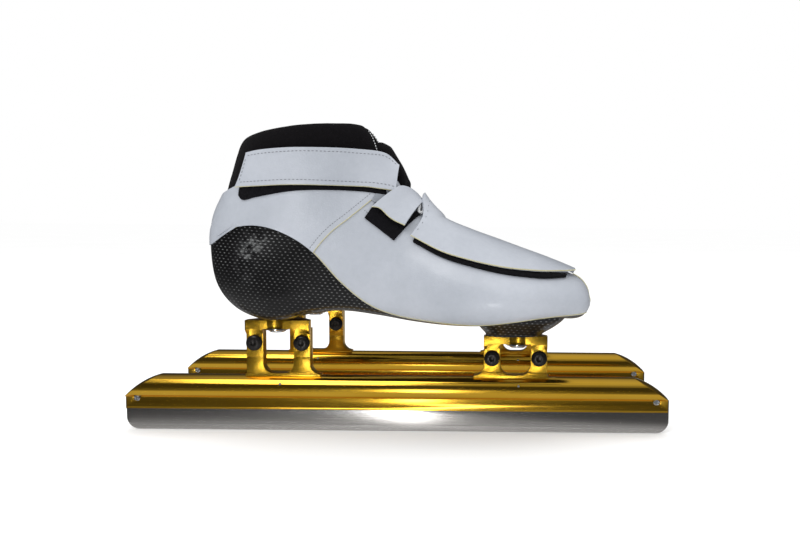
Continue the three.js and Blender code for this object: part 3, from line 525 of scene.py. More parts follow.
MATERIALS = {
    "gold_tube": metal_material("gold_tube", (0.74, 0.42, 0.035), (0.84, 0.51, 0.06), (0.10, 0.2),
                                (4, 900, 900), 0.08),
    "gold_satin": grained_material("gold_satin", (5200.0, 2.0), ((0.78, 0.44, 0.03), (0.88, 0.53, 0.055)),
                                   (0.1, 0.22), (0.12, 0.0001), (60.0, 2.0), Metallic=1.0),
    "steel": steel_material(),
    "bright": metal_material("bright_steel", (0.66, 0.67, 0.69), (0.82, 0.83, 0.85), (0.14, 0.26),
                             (300, 300, 300), 0.1),
    "black_steel": grained_material("black_steel", (900.0, 3.0),
                                    ((0.016, 0.014, 0.013), (0.032, 0.029, 0.027)), (0.18, 0.14), (0.1, 0.0001),
                                    (160.0, 4.0), (0.35, 0.75), Metallic=0.6),
    "carbon": carbon_material(),
    "leather": leather_material("white_leather", (0.35, 0.375, 0.42), (0.45, 0.475, 0.525)),
    "cream": grained_material("cream_edge", (1400.0, 4.0), ((0.40, 0.37, 0.20), (0.56, 0.53, 0.33)), 0.7,
                              (0.4, 0.0002)),
    "lining": fabric_material("black_lining", (0.0022, 0.0018, 0.0022), (0.0065, 0.0055, 0.007), 1500.0),
    "loop": fabric_material("black_loop_tape", (0.002, 0.0018, 0.0024), (0.009, 0.0085, 0.011), 1100.0),
    "foam": fabric_material("insole_foam", (0.02, 0.02, 0.022), (0.06, 0.06, 0.065), 700.0),
    "lace": thread_material("lace_cord", (0.42, 0.43, 0.44), (0.66, 0.67, 0.68)),
    "thread": thread_material("grey_thread", (0.12, 0.125, 0.14), (0.24, 0.25, 0.27)),
    "patch": leather_material("silver_patch", (0.17, 0.19, 0.22), (0.30, 0.32, 0.36)),
}


def finish(obj, piece, paints, *nodes, body="boot", sharp=50, mirror=True, soft=None, sides=SIDES):
    """Settles and paints a piece built at y = 0, and puts it on the skates.

    A boot's piece is mirrored and set back on the left one.
    """
    settle(obj, sharp)
    if "carbon" in paints:
        box_map(obj.data)
    obj.data.materials.clear()
    for paint in paints.split():
        obj.data.materials.append(MATERIALS[paint])
    main = paints.split()[0]
    for side in sides:
        mesh = obj.data.copy()
        if mirror:
            mesh.transform(Matrix.Translation((-SETBACK[side] * MM, 0, 0)))
        if mirror and SIDES[side] > 0:
            mesh.transform(Matrix.Diagonal((1, -1, 1, 1)))
            mesh.flip_normals()
        mesh.transform(Matrix.Translation((0, SIDES[side] * SKATE_Y * MM, 0)))
        copy = new_object(f"{side}_{piece}", mesh)
        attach(copy, f"{side}_{body}")
        if nodes:
            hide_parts(*[f"{side}_{node}" for node in nodes])
    bpy.data.objects.remove(obj)


def finish_metal(obj, piece, paint, *nodes, body="skate", sharp=35):
    """Finishes a piece that is the same on both skates, and isn't set back."""
    finish(obj, piece, paint, *nodes, body=body, sharp=sharp, mirror=False)


# ---- blade pieces
def build_runner():
    end = BLADE_HALF
    outline = arc(end - RUNNER_CORNER, RUNNER_CORNER, RUNNER_CORNER, -90, 0, 24)
    outline += [(end, RUNNER_TOP - RUNNER_CHAMFER), (end - RUNNER_CHAMFER, RUNNER_TOP)]
    outline += [(-end + RUNNER_CHAMFER, RUNNER_TOP), (-end, RUNNER_TOP - RUNNER_CHAMFER)]
    outline += arc(-end + RUNNER_CORNER, RUNNER_CORNER, RUNNER_CORNER, 180, 270, 24)
    blade = prism(outline, "y", -RUNNER_HALF_THICKNESS, RUNNER_HALF_THICKNESS)
    finish_metal(bevelled(blade, 0.12, 2, 60), "blade", "steel", "runner")


def tube_trim():
    """The block that trims the tube's ends: a rounded cut, crowned across the tube."""
    top = TUBE_AXIS + TUBE_RADIUS
    bend = np.array([TUBE_HALF - 0.43 * TUBE_END_CUT, top - 3.6])
    start, end = np.array([TUBE_HALF, TUBE_END_HEIGHT]), np.array([TUBE_HALF - TUBE_END_CUT, top + 0.2])
    f = np.linspace(0, 1, 25)[:, None]
    curve = start * (1 - f) ** 2 + 2 * bend * f * (1 - f) + end * f ** 2
    side = [(TUBE_HALF, FLANGE_BOTTOM - 2), *map(tuple, curve)]
    side += [(-x, z) for x, z in reversed(side)]
    reach = TUBE_RADIUS + 1
    rings = []
    for y in np.linspace(-reach, reach, 22):
        drop = TUBE_END_CROWN * y * y
        rings.append([(x, y, z - drop * (z > FLANGE_BOTTOM)) for x, z in side])
    return loft(rings)


def build_tube():
    shoulder = math.degrees(math.asin(FLANGE_HALF / TUBE_RADIUS))
    lip = [(FLANGE_HALF + 0.25, FLANGE_BOTTOM), (FLANGE_HALF + 0.25, FLANGE_BOTTOM + LIP_HEIGHT),
           (FLANGE_HALF, FLANGE_BOTTOM + LIP_HEIGHT + 0.3)]
    outline = [(-lip[0][0], FLANGE_BOTTOM), *lip]
    outline += arc(0, TUBE_AXIS, TUBE_RADIUS, -90 + shoulder, 270 - shoulder, 84)
    outline += [(-y, z) for y, z in lip[:0:-1]]
    body = prism(outline, "x", -BLADE_HALF - 2, BLADE_HALF + 2)
    combine(body, [tube_trim()], "INTERSECT")
    slot = block((-BLADE_HALF - 5, -0.9, FLANGE_BOTTOM - 3), (BLADE_HALF + 5, 0.9, RUNNER_TOP + GAP))
    holes = [turned([(0, -8), (PIN_RADIUS + GAP, -8), (PIN_RADIUS + GAP, 8), (0, 8)], "y",
                    (end * PIN_X, 0, PIN_Z)) for end in (-1, 1)]
    combine(body, [slot, *holes], "DIFFERENCE")
    finish_metal(bevelled(body, 0.3, 3, 40), "blade_tube", "gold_tube", "tube", sharp=30)


def build_pins():
    for place, end in (("rear", -1), ("front", 1)):
        reach = FLANGE_HALF + 1.0
        profile = [(0, -reach), (PIN_RADIUS - 0.4, -reach), (PIN_RADIUS, -reach + 0.4)]
        profile += [(r, -y) for r, y in reversed(profile)]
        pin = turned(profile, "y", (end * PIN_X, 0, PIN_Z))
        finish_metal(pin, f"{place}_cross_pin", "bright", f"{place}_pin")


def build_tube_dots():
    """Two small set pins in the tube's outer side, under the brackets."""
    profile = [(0, -0.25), (0.7, -0.25), (0.95, 0), (0.95, 1.2), (0, 1.2)]
    for place, x in SET_PINS.items():
        dot = turned(profile, "y", (0, -TUBE_RADIUS, 0), 24)
        dot.data.transform(Matrix.Rotation(-math.radians(SET_PIN_LEAN), 4, "X"))
        dot.data.transform(Matrix.Translation((x * MM, 0, TUBE_AXIS * MM)))
        finish_metal(dot, f"{place}_set_pin", "bright")


def plate_outline(bracket):
    half, centre = BRACKET_HALF, bracket["centre"]
    sweep = math.degrees(math.acos(1 - NOSE_DEPTH / NOSE_RADIUS))
    nose = PLATE_FRONT + NOSE_DEPTH - NOSE_RADIUS
    outline = arc(bracket["bolt"], nose, NOSE_RADIUS, 90 + sweep, 90 - sweep, 24)
    outline += [(centre + half, PLATE_FRONT), (centre + half, -0.5), (centre + half / 2, PLATE_BACK)]
    outline += [(centre - half / 2, PLATE_BACK), (centre - half, -0.5), (centre - half, PLATE_FRONT)]
    return outline


def build_bracket(place):
    bracket = BRACKETS[place]
    centre, bolt, top = bracket["centre"], bracket["bolt"], bracket["top"]
    foot = top - PLATE_THICKNESS
    body = prism(plate_outline(bracket), "z", foot, top)
    legs = []
    for end in (-1, 1):
        x = sorted((centre + end * LEG_INNER, centre + end * BRACKET_HALF))
        legs.append(block((x[0], LEG_FRONT, top - LEG_DROP), (x[1], LAP_PLANE - GAP / 2, top - 1)))
        # the overhang's skirt above the leg, cut out as an arch
        low, round_off = foot - 4.4, 3
        webs = sorted((centre + end * (LEG_INNER + 0.9), centre + end * (BRACKET_HALF - 2.2)))
        arch = [(webs[0], low), *arc(webs[0] + round_off, foot - 3.2, round_off, 180, 90, 8)]
        arch += [*arc(webs[1] - round_off, foot - 3.2, round_off, 90, 0, 8), (webs[1], low)]
        skirt = prism([(x[0], low), *arch, (x[1], low), (x[1], foot + 0.5), (x[0], foot + 0.5)], "y",
                      PLATE_FRONT, LEG_FRONT + 0.5)
        slope = [(PLATE_FRONT - 1, low - 1), (LEG_FRONT + 0.2, low - 1), (PLATE_FRONT - 1, foot)]
        legs.append(combine(skirt, [prism(slope, "x", x[0] - 1, x[1] + 1)], "DIFFERENCE"))
    combine(body, legs, "UNION")
    slot = arc(bolt, 10 - SLOT_HALF, SLOT_HALF, 0, 180, 16)
    slot += arc(bolt, -3.4 + SLOT_HALF, SLOT_HALF, 180, 360, 16)
    holes = [prism(slot, "z", foot - 3, top + 3)]
    for end in (-1, 1):
        spot = (centre + end * CLAMP_OFFSET, 0, top - CLAMP_DROP)
        holes.append(turned([(0, -9), (CLAMP_BORE, -9), (CLAMP_BORE, 9), (0, 9)], "y", spot, 32))
    combine(body, holes, "DIFFERENCE")
    bevelled(body, 0.35)
    finish_metal(body, f"{place}_bracket_body", "gold_satin", f"{place}_bracket")


def cup_outline(bracket):
    centre, tab = bracket["centre"], bracket["top"] - PLATE_THICKNESS - GAP
    foot = TUBE_AXIS + TUBE_RADIUS + 0.9
    heelward, toeward = (CUP_FLARE, CUP_END_FLARE) if centre > 0 else (CUP_END_FLARE, CUP_FLARE)
    left, right = centre - BRACKET_HALF, centre + BRACKET_HALF
    outline = [(left - heelward, TUBE_AXIS + 2), (right + toeward, TUBE_AXIS + 2)]
    outline += arc(right + toeward, foot + toeward, toeward, 270, 180, 16)
    outline += [(right, tab), (centre + LEG_INNER, tab)]
    inset = LEG_INNER - CUP_CROTCH
    outline += arc(centre + inset, foot + 0.6 + CUP_CROTCH, CUP_CROTCH, 0, -90, 14)
    outline += arc(centre - inset, foot + 0.6 + CUP_CROTCH, CUP_CROTCH, -90, -180, 14)
    outline += [(centre - LEG_INNER, tab), (left, tab)]
    outline += arc(left - heelward, foot + heelward, heelward, 0, -90, 16)
    return outline


def build_cup(place):
    bracket = BRACKETS[place]
    centre, top, reach = bracket["centre"], bracket["top"], CUP_HALF + 5
    body = prism(cup_outline(bracket), "y", LEG_FRONT, CUP_BACK)
    lap = block((centre - reach, LEG_FRONT - 2, top - LEG_DROP - GAP),
                (centre + reach, LAP_PLANE + GAP / 2, top + 5))
    saddle = prism(arc(0, TUBE_AXIS, TUBE_RADIUS + 0.12, 0, 354, 59), "x", centre - reach, centre + reach)
    combine(body, [lap, saddle], "DIFFERENCE")
    finish_metal(bevelled(body, 0.3, 3), f"{place}_cup_body", "gold_satin", f"{place}_cup")


def build_clamp_screws(place):
    bracket = BRACKETS[place]
    under = LEG_FRONT - 0.05
    radius, height = SCREW_RADIUS, SCREW_HEIGHT
    dome = [(radius * math.cos(a) ** 0.8, under - 1.4 - (height - 1.4) * math.sin(a))
            for a in np.radians([0, 12, 24, 36, 48, 58])]
    profile = [(0, CUP_BACK), (2.2, CUP_BACK), (2.5, CUP_BACK - 0.4), (2.5, under), (radius - 0.25, under)]
    profile += [(radius, under - 0.3), *dome, (0, under - height)]
    for end, where in ((-1, "heelward"), (1, "toeward")):
        spot = (bracket["centre"] + end * CLAMP_OFFSET, 0, bracket["top"] - CLAMP_DROP)
        screw = turned(profile, "y", spot, 64)
        hexagon = arc(spot[0], spot[2], SCREW_SOCKET, 20, 320, 5)
        combine(screw, [prism(hexagon, "y", under - height - 1, under - height + 2.3)], "DIFFERENCE")
        name = f"{place}_clamp_screw_{where}"
        finish_metal(bevelled(screw, 0.22, 2, 38), f"{name}_head", "black_steel", name, sharp=30)


def build_mounting_bolt(place):
    bracket = BRACKETS[place]
    top = bracket["top"] - PLATE_THICKNESS - 0.1
    foot, rim, bore = top - WASHER_THICKNESS, WASHER_RADIUS, 3.4
    ring = [(bore, foot), (rim - 0.3, foot), (rim, foot + 0.3), (rim, top - 0.25), (rim - 0.2, top),
            (bore, top), (bore, foot)]
    under = foot - 0.1
    foot, rim, socket = under - BOLT_HEAD_HEIGHT, BOLT_HEAD_RADIUS, 2.3
    profile = [(0, foot + 1.4), (socket, foot + 1.4), (socket, foot), (0.8 * rim, foot)]
    profile += [(0.96 * rim, foot + 0.5), (rim, foot + 1.0), (rim, under), (3, under)]
    profile += [(3, bracket["bolt_top"]), (0, bracket["bolt_top"])]
    for shape, count, piece, node in ((ring, 72, "washer_ring", "bolt_washer"),
                                      (profile, 48, "bolt_turned", "mounting_bolt")):
        bolt = turned(shape, "z", (bracket["bolt"], 0, 0), count)
        finish_metal(bolt, f"{place}_{piece}", "bright", f"{place}_{node}", body="boot")


def build_blade_units():
    build_runner()
    build_tube()
    build_pins()
    build_tube_dots()
    for place in BRACKETS:
        build_bracket(place)
        build_cup(place)
        build_clamp_screws(place)
        build_mounting_bolt(place)


# ---- boot surfaces
MIRROR = np.array([1, -1, 1])


def both(points):
    """Points on the outer side and their mirror image on the inner side."""
    return [points, points * MIRROR]


def surface(grids, outward=True):
    """Grids of points in mm, joined into one sheet where they meet, facing away from the boot."""
    bm = bmesh.new()
    for grid in grids:
        weave(bm, [[bm.verts.new(point * MM) for point in row] for row in grid])
    bmesh.ops.remove_doubles(bm, verts=bm.verts, dist=0.03 * MM)
    bmesh.ops.dissolve_degenerate(bm, dist=0.005 * MM, edges=bm.edges)
    obj = from_bmesh(bm, turn_out=True)
    if outward and faces_inward(obj.data):
        obj.data.flip_normals()
    return obj


def faces_inward(mesh):
    """True if most of the sheet's faces look at the boot's middle line."""
    total = 0.0
    for face in mesh.polygons:
        middle = Vector((face.center.x / MM, 0, 128 if face.center.x / MM > -20 else 165))
        total += face.normal.dot(face.center / MM - middle) * face.area
    return total < 0


def closed_form(grid):
    """A solid through the grid's rings, with a fan at each end."""
    caps = [np.stack([ring, np.repeat(ring.mean(0)[None], len(ring), 0)]) for ring in (grid[0], grid[-1])]
    return surface([grid, *caps], outward=False)


def thicken(obj, thickness, rim=1, even=True):
    """Gives a sheet its thickness inwards. The rim takes the piece's second material."""
    return modify(obj, "SOLIDIFY", thickness=thickness * MM, offset=-1, use_even_offset=even,
                  thickness_clamp=1.5, material_offset_rim=rim)


def puff(obj, amount):
    """Moves a soft piece's skin in and out a little, as filling does."""
    texture = bpy.data.textures.new("filling", "CLOUDS")
    texture.noise_scale = 0.018
    modify(obj, "SUBSURF", levels=1, render_levels=1)
    return modify(obj, "DISPLACE", texture=texture, strength=amount * MM, mid_level=0.5)


def box_map(mesh):
    """UVs in mm, from the side, from underneath or from behind, by where each face looks."""
    layer = mesh.uv_layers.new(name="map")
    for face in mesh.polygons:
        lean = [abs(value) for value in face.normal]
        for k in face.loop_indices:
            x, y, z = mesh.vertices[mesh.loops[k].vertex_index].co / MM
            if lean[1] > 0.62 * max(lean[0], lean[2]):
                spot = (x, z)
            elif lean[2] > lean[0]:
                spot = (x, y)
            else:
                spot = (y, z)
            layer.data[k].uv = spot


def eased(start, end, count):
    """Values from start to end, closer together near both ends."""
    return start + (end - start) * (1 - np.cos(np.linspace(0, math.pi, count))) / 2


def plate_points(edge, u, v, lift, bend=None):
    """Points at u along a plate and v across it. edge(u) gives its two sides there as (section, angle).

    lift may depend on u and v, and bend gives what it adds to the section and the angle there.
    """
    start, end = edge(u)
    t, angle = (low[:, None] + (high - low)[:, None] * v for low, high in zip(start, end))
    if bend:
        more_t, more_angle = bend(u[:, None], v[None, :])
        t, angle = t + more_t, angle + more_angle
    return lifted(t, angle, lift(u[:, None], v[None, :]) if callable(lift) else lift)


def plate_grid(edge, columns, rows, lift, bend=None):
    return plate_points(edge, np.linspace(0, 1, columns + 1), np.linspace(0, 1, rows + 1), lift, bend)


def row_on(edge, v, lift, u0, u1):
    """A line along a plate at v across it."""
    return plate_points(edge, np.linspace(u0, u1, 300), np.array([v]), lift)[:, 0]


def plate(edge, columns, rows, inner, outer, round_edge=0.45, bend=None):
    """A closed plate along the boot, with its rim in the piece's second material."""
    bm = bmesh.new()
    grids = [plate_grid(edge, columns, rows, lift, bend) for lift in (outer, inner)]
    sheets = [[[bm.verts.new(point * MM) for point in row] for row in grid] for grid in grids]
    borders = []
    for sheet in sheets:
        weave(bm, sheet)
        border = sheet[0] + [row[-1] for row in sheet[1:]] + sheet[-1][-2::-1]
        borders.append(border + [row[0] for row in sheet[-2:0:-1]])
    over, under = borders
    for k in range(len(over)):
        j = (k + 1) % len(over)
        bm.faces.new((over[k], over[j], under[j], under[k])).material_index = 1
    return bevelled(from_bmesh(bm, turn_out=True), round_edge, 3, 50)


def side_plate(low, high, *sizes):
    """A plate between two side outlines."""
    return plate(lambda u: [side_line(low, u), side_line(high, u)], *sizes)


STITCH_RINGS = (-1, -0.72, -0.25, 0.25, 0.72, 1)
STITCH_SIDES = 6


def sew(piece, rows, pitch=2.9, length=1.8, radius=0.3, body="boot", paint="thread"):
    """Rows of short threads. Each row is a dense line of points in mm."""
    bm = bmesh.new()
    around = [2 * math.pi * k / STITCH_SIDES for k in range(STITCH_SIDES)]
    for line in rows:
        run = np.concatenate([[0], np.cumsum(np.linalg.norm(np.diff(line, axis=0), axis=1))])
        for start in np.arange(pitch / 2, run[-1] - length, pitch):
            ends = np.stack([np.interp([start, start + length], run, line[:, k]) for k in range(3)], 1)
            middle, half = Vector(ends.mean(0)), Vector((ends[1] - ends[0]) / 2)
            turn = half.to_track_quat("Z", "Y").to_matrix()
            loops = []
            for place in STITCH_RINGS:
                width = radius * math.sqrt(max(1 - abs(place) ** 3, 0.04))
                ring = [(width * math.cos(a), width * math.sin(a), place * half.length) for a in around]
                loops.append([bm.verts.new((middle + turn @ Vector(spot)) * MM) for spot in ring])
            weave(bm, loops, closed=True)
            bm.faces.new(loops[0][::-1])
            bm.faces.new(loops[-1])
    finish(from_bmesh(bm), piece, paint, body=body, sharp=60)


def tube_along(path, radius, sides=10):
    """A round cord along points in mm."""
    curve = bpy.data.curves.new("cord", "CURVE")
    curve.dimensions = "3D"
    curve.bevel_depth = radius * MM
    curve.bevel_resolution = sides // 2
    curve.use_fill_caps = True
    line = curve.splines.new("POLY")
    line.points.add(len(path) - 1)
    for point, place in zip(line.points, path):
        point.co = (*(np.asarray(place) * MM), 1)
    cord = new_object("cord", curve)
    mesh = bpy.data.meshes.new_from_object(cord.evaluated_get(bpy.context.evaluated_depsgraph_get()))
    bpy.data.objects.remove(cord)
    return settle(new_object("cord", mesh), 60)


def piping(piece, lines, radius, body="boot"):
    """The cream cut edge of the leather, which shows as a fine line."""
    bm = bmesh.new()
    for line in lines:
        cord = tube_along(line, radius, 6)
        bm.from_mesh(cord.data)
        bpy.data.objects.remove(cord)
    finish(from_bmesh(bm), piece, "cream", body=body, sharp=60)


# ---- boot pieces
UPPER_LIFT = 0.4                       # how far the leather stands off the boot's form,
PANEL_LIFT = 1.0                       # and the heel panel over it
SHELL_THICKNESS = 2.1
UPPER_THICKNESS = 2.2
PANEL_THICKNESS = 0.9
THROAT_START = 3.4                     # the section where it opens
THROAT_HALF = 0.3                      # in radians round the form
QUARTER_SEAM = [(-57.6, 143.0), (-55.6, 146), (-50.2, 152.7), (-42.4, 160.5), (-31, 169.6), (-15.4, 183.3),
                (-9, 189.5)]


def span(line):
    """The first and last sections that a side outline crosses."""
    t = np.linspace(0.02, LAST, 1200)
    crossed = t[crossing_angle(line, t) > 0.02]
    return crossed[0], crossed[-1]


def lowered(line, drop):
    return [(x, z - drop) for x, z in line]


def build_shell():
    t = eased(*span(CARBON_LINE), 170)
    angle = crossing_angle(CARBON_LINE, t)
    sheet = surface([skin(t[:, None], angle[:, None] * np.linspace(-1, 1, 73))])
    finish(thicken(sheet, SHELL_THICKNESS, even=False), "carbon_shell", "carbon carbon", "boot_shell")


def build_upper():
    """The leather from toe to heel, open along the throat and at the ankle."""
    back = span(QUARTER_TOP)[1]
    t = np.concatenate([eased(0, 3.4, 40), eased(3.4, 11.2, 70)[1:], eased(11.2, back, 70)[1:]])
    low = crossing_angle(lowered(CARBON_LINE, 0.7), t)
    high = np.minimum(crossing_angle(QUARTER_TOP, t), math.pi)
    edge = math.pi - THROAT_HALF * np.clip((t - THROAT_START) / 0.5, 0, 1) ** 0.5
    high = np.minimum(high, np.where(t < THROAT_START, math.pi, edge))
    angle = low[:, None] + np.maximum(high - low, 0.001)[:, None] * np.linspace(0, 1, 40)
    sheet = thicken(surface(both(lifted(t[:, None], angle, UPPER_LIFT))), UPPER_THICKNESS)
    finish(bevelled(sheet, 0.45, 3, 60), "leather_upper", "leather cream", "upper")


def quarter_places(columns, rows):
    """Sections and angles over the heel panel, from its front seam back to the boot's back line."""
    v = np.linspace(0, 1, rows)
    front = np.stack(side_line(QUARTER_SEAM, v), -1)
    back_low, back_top = span(CARBON_LINE)[1], span(QUARTER_TOP)[1]
    back = np.stack([back_low + (back_top - back_low) * v, np.zeros(rows)], -1)
    u = np.sin(np.linspace(0, math.pi / 2, columns))
    edges = []
    for k, line in ((0, lowered(CARBON_LINE, 0.5)), (-1, QUARTER_TOP)):
        t = front[k, 0] + (back[k, 0] - front[k, 0]) * u
        angle = crossing_angle(line, t)
        angle += (front[k, 1] - angle[0]) * (1 - u) ** 8
        angle[-1] = 0
        edges.append(np.stack([t, angle], -1))
    low, top = edges
    u, v = u[:, None, None], v[None, :, None]
    ruled = front[None] * (1 - u) + back[None] * u + low[:, None] * (1 - v) + top[:, None] * v
    corners = (front[0] * (1 - u) + back[0] * u) * (1 - v) + (front[-1] * (1 - u) + back[-1] * u) * v
    places = ruled - corners
    return places[..., 0], np.maximum(places[..., 1], 0)


def on_outer(line, lift):
    """Points over the outer side, along a line of its side view."""
    return lifted(*on_side(line[:, 0], line[:, 1]), lift)


def build_quarter():
    """The heel panel of leather, which overlaps the front one along the curved seam."""
    sheet = thicken(surface(both(lifted(*quarter_places(80, 40), PANEL_LIFT))), PANEL_THICKNESS, even=False)
    finish(sheet, "quarter_panel", "leather cream")
    seam = spline(QUARTER_SEAM, np.linspace(0, 1, 200))
    inward = np.stack([np.gradient(seam[:, 1]), -np.gradient(seam[:, 0])], 1)
    inward /= np.linalg.norm(inward, axis=1, keepdims=True)
    outer = on_outer((seam - 4.0 * inward)[8:-6], PANEL_LIFT + 0.05)
    branch = spline([(-22, 176), (-16.5, 171.5), (-12.5, 168.5)], np.linspace(0, 1, 40))
    sew("quarter_stitches", [*both(outer), on_outer(branch, UPPER_LIFT + 0.1)], 2.2, 1.4, 0.24)


def build_edge_piping():
    """Fine cream lines where the leather ends on the carbon and at the heel panel's seam."""
    first, last = span(CARBON_LINE)
    t = eased(first + 0.4, last, 160)
    low = lifted(t, crossing_angle(CARBON_LINE, t), 0.5)
    seam = lifted(*side_line(QUARTER_SEAM, np.linspace(0.02, 1, 60)), PANEL_LIFT - 0.1)
    piping("leather_piping", [*both(low), *both(seam)], 0.34)


def toe_tip(angle, reach):
    """The blunt end of the toe: a low dome over the first section."""
    crown, foot, ring = (lifted(0.0, place, UPPER_LIFT) for place in (math.pi, 0.0, angle))
    centre = (crown + foot) / 2
    reach = np.asarray(reach)[..., None]
    return centre + (ring - centre) * reach + np.array([1, 0, 0]) * (1.1 * (1 - reach ** 2))


def build_toe_cap():
    around, reach = np.meshgrid(np.linspace(-math.pi, math.pi, 73), np.linspace(0.001, 1.02, 14))
    cap = thicken(surface([toe_tip(around, reach)]), 1.2)
    finish(cap, "toe_cap_leather", "leather leather")


def build_toe_welt():
    """The raised seam down the middle of the toe, in cream thread."""
    top = list(lifted(np.linspace(2.6, 0.05, 30), math.pi, UPPER_LIFT + 0.1))
    low = list(lifted(np.linspace(0.05, 1.9, 20), 0.0, UPPER_LIFT + 0.1))
    tip = [toe_tip(math.pi if k > 0 else 0.0, abs(k)) for k in np.linspace(0.9, -0.9, 9)]
    finish(tube_along(top + tip + low, 0.65), "toe_welt", "cream", sharp=60)


COLLAR_FRONT = math.pi - 0.41          # beside the tongue
COLLAR_TOP_FRONT = math.pi - 0.2       # above it
COLLAR_LOW_LINE = [(-133, 190), (-112, 184), (-60, 187), (-20, 190), (-6, 192)]
COLLAR_TOP_LINE = [(-121, 228.6), (-117.6, 230.4), (-108, 232.2), (-92, 235), (-71, 238), (-45, 240.6),
                   (-31, 242.4), (-20, 243), (-11.5, 239.4)]
# The collar's roll: how far up it each ring is, and how far out.
COLLAR_ROLL = [
    (0.0, -2.4), (0.1, -1.6), (0.25, -0.9), (0.45, -0.35), (0.65, -0.2), (0.8, -0.35), (0.9, -1.0),
    (0.96, -2.2), (0.995, -3.7), (1.0, -5.2), (0.985, -6.8), (0.94, -8.2),
    (0.85, -9.1), (0.7, -9.6), (0.5, -9.6), (0.3, -8.8), (0.1, -7.2), (-0.2, -6.0), (-0.2, -3.0),
]


def collar_lines(u):
    """The padded collar's lower and upper lines as (section, angle), from the back to the tongue."""
    ease = np.clip(u / 0.06, 0, 1) ** 0.5
    front = np.clip((u - 0.9) / 0.1, 0, 1)
    lines = []
    for line, limit in ((COLLAR_LOW_LINE, COLLAR_FRONT), (COLLAR_TOP_LINE, COLLAR_TOP_FRONT)):
        t, angle = side_line(line, u)
        lines.append((t, np.minimum(angle * ease, limit) * (1 - front) + limit * front))
    return lines


def build_collar():
    """The padded collar: out, over its soft top and down inside, in one closed roll."""
    u = np.linspace(0, 1, 90)
    low, top = collar_lines(u)
    closing = np.maximum(np.clip((1 - u) / 0.05, 0, 1) ** 0.5, 0.15)
    rings = []
    for place, lift in [*COLLAR_ROLL, COLLAR_ROLL[0]]:
        t, angle = (start + (end - start) * place for start, end in zip(low, top))
        rings.append(lifted(t, angle, -5.0 + (lift + 5.0) * closing))
    collar = puff(surface(both(np.stack(rings)), outward=False), 0.5)
    finish(collar, "padded_collar", "lining", "collar_lining", sharp=60, soft=0.6)
    t = eased(1.75, 19.4, 80)
    high = np.minimum(crossing_angle(COLLAR_TOP, t), COLLAR_FRONT)
    high = np.maximum(np.where(t < 2.6, math.pi, high), 0.001)
    lining = surface(both(skin(t[:, None], high[:, None] * np.linspace(0, 1, 30), 4.2)))
    finish(thicken(lining, 1.4, 0), "sock_lining", "lining")
    place = np.linspace(0.45, 0.95, 40)
    low, top = collar_lines(np.array([0.945]))
    t, angle = (start + (end - start) * place for start, end in zip(low, top))
    hem = lifted(t, angle, -0.2 - 0.8 * np.clip((place - 0.8) / 0.15, 0, 1))
    sew("collar_hem_stitches", both(hem), 2.2, 1.5, 0.35, paint="lace")


def build_tongue():
    """The padded tongue: thin under the straps, and swelling out above them."""
    t = np.linspace(8.2, 17.0, 60)[:, None]
    s = np.linspace(-1, 1, 25)[None, :]
    swell = np.clip((t - 9.5) / 2.2, 0, 1) * np.clip((17.2 - t) / 1.3, 0, 1) ** 0.5
    outer = -2.4 + 6.6 * swell * (1 - np.abs(s) ** 3.2) ** 0.7
    top, under = (lifted(t, math.pi + 0.37 * s, lift) for lift in (outer, -6.6))
    sides = [np.stack([top[:, k], under[:, k]]) for k in (0, -1)]
    ends = [np.stack([top[k], under[k]]) for k in (0, -1)]
    pad = puff(bevelled(surface([top, under, *sides, *ends], outward=False), 1.2, 3, 50), 0.5)
    finish(pad, "padded_tongue", "lining", "tongue", sharp=60, soft=0.5)
    tail = surface([lifted(np.linspace(2.9, 8.6, 30)[:, None], math.pi + 0.36 * s, -2.3)])
    finish(thicken(tail, 2.6, 0), "tongue_tail", "lining", sharp=60)


def build_insole():
    top = skin(np.linspace(2.3, 13.4, 60)[:, None], np.linspace(-0.95, 0.95, 21)[None, :], 5.7)
    sheet = surface([top + np.array([0, 0, 2.2])], outward=False)
    if sheet.data.polygons[0].normal.z < 0:
        sheet.data.flip_normals()
    bevelled(thicken(sheet, 2.2, 0), 0.8, 3, 50)
    finish(sheet, "foam_insole", "foam", "insole", sharp=60)


LACE_ROWS = 9
LACE_STEP = 0.64                       # sections from row to row


def build_laces():
    """The lace, crossing the throat in rows, and the eyelets that it goes through."""
    route = []
    bm = bmesh.new()
    for i in range(LACE_ROWS):
        t = 3.9 + i * LACE_STEP
        side = -1 if i % 2 == 0 else 1
        route += [(t - 0.02, side * 0.30, 2.6), (t + 0.05, side * 0.42, 2.3), (t + 0.2, side * 0.42, 2.2),
                  (t + 0.3, side * 0.28, 2.7), (t + 0.48, 0.0, 3.0)]
        for side in (-1, 1):
            add_eyelet(bm, 4.02 + i * LACE_STEP, math.pi + side * 0.38)
    fine = spline(route, np.linspace(0, 1, 14 * len(route)))
    lace = tube_along(lifted(fine[:, 0], math.pi + fine[:, 1], fine[:, 2]), 1.2, 8)
    finish(lace, "boot_lace", "lace", "lace", sharp=60)
    finish(from_bmesh(bm), "lace_eyelets", "bright", sharp=60)


def add_eyelet(bm, t, angle, radius=2.1, thickness=0.55, segments=20, sides=8):
    spot = lifted(t, angle, 0.95)
    turn = Vector(lifted(t, angle, 2.0) - spot).normalized().to_track_quat("Z", "Y").to_matrix().to_4x4()
    matrix = Matrix.Translation(Vector(spot) * MM) @ turn
    loops = []
    for k in range(segments):
        around = 2 * math.pi * k / segments
        ring = []
        for j in range(sides):
            about = 2 * math.pi * j / sides
            reach = radius + thickness * math.cos(about)
            place = (reach * math.cos(around), reach * math.sin(around), thickness * math.sin(about))
            ring.append(bm.verts.new(matrix @ (Vector(place) * MM)))
        loops.append(ring)
    weave(bm, [*loops, loops[0]], closed=True)


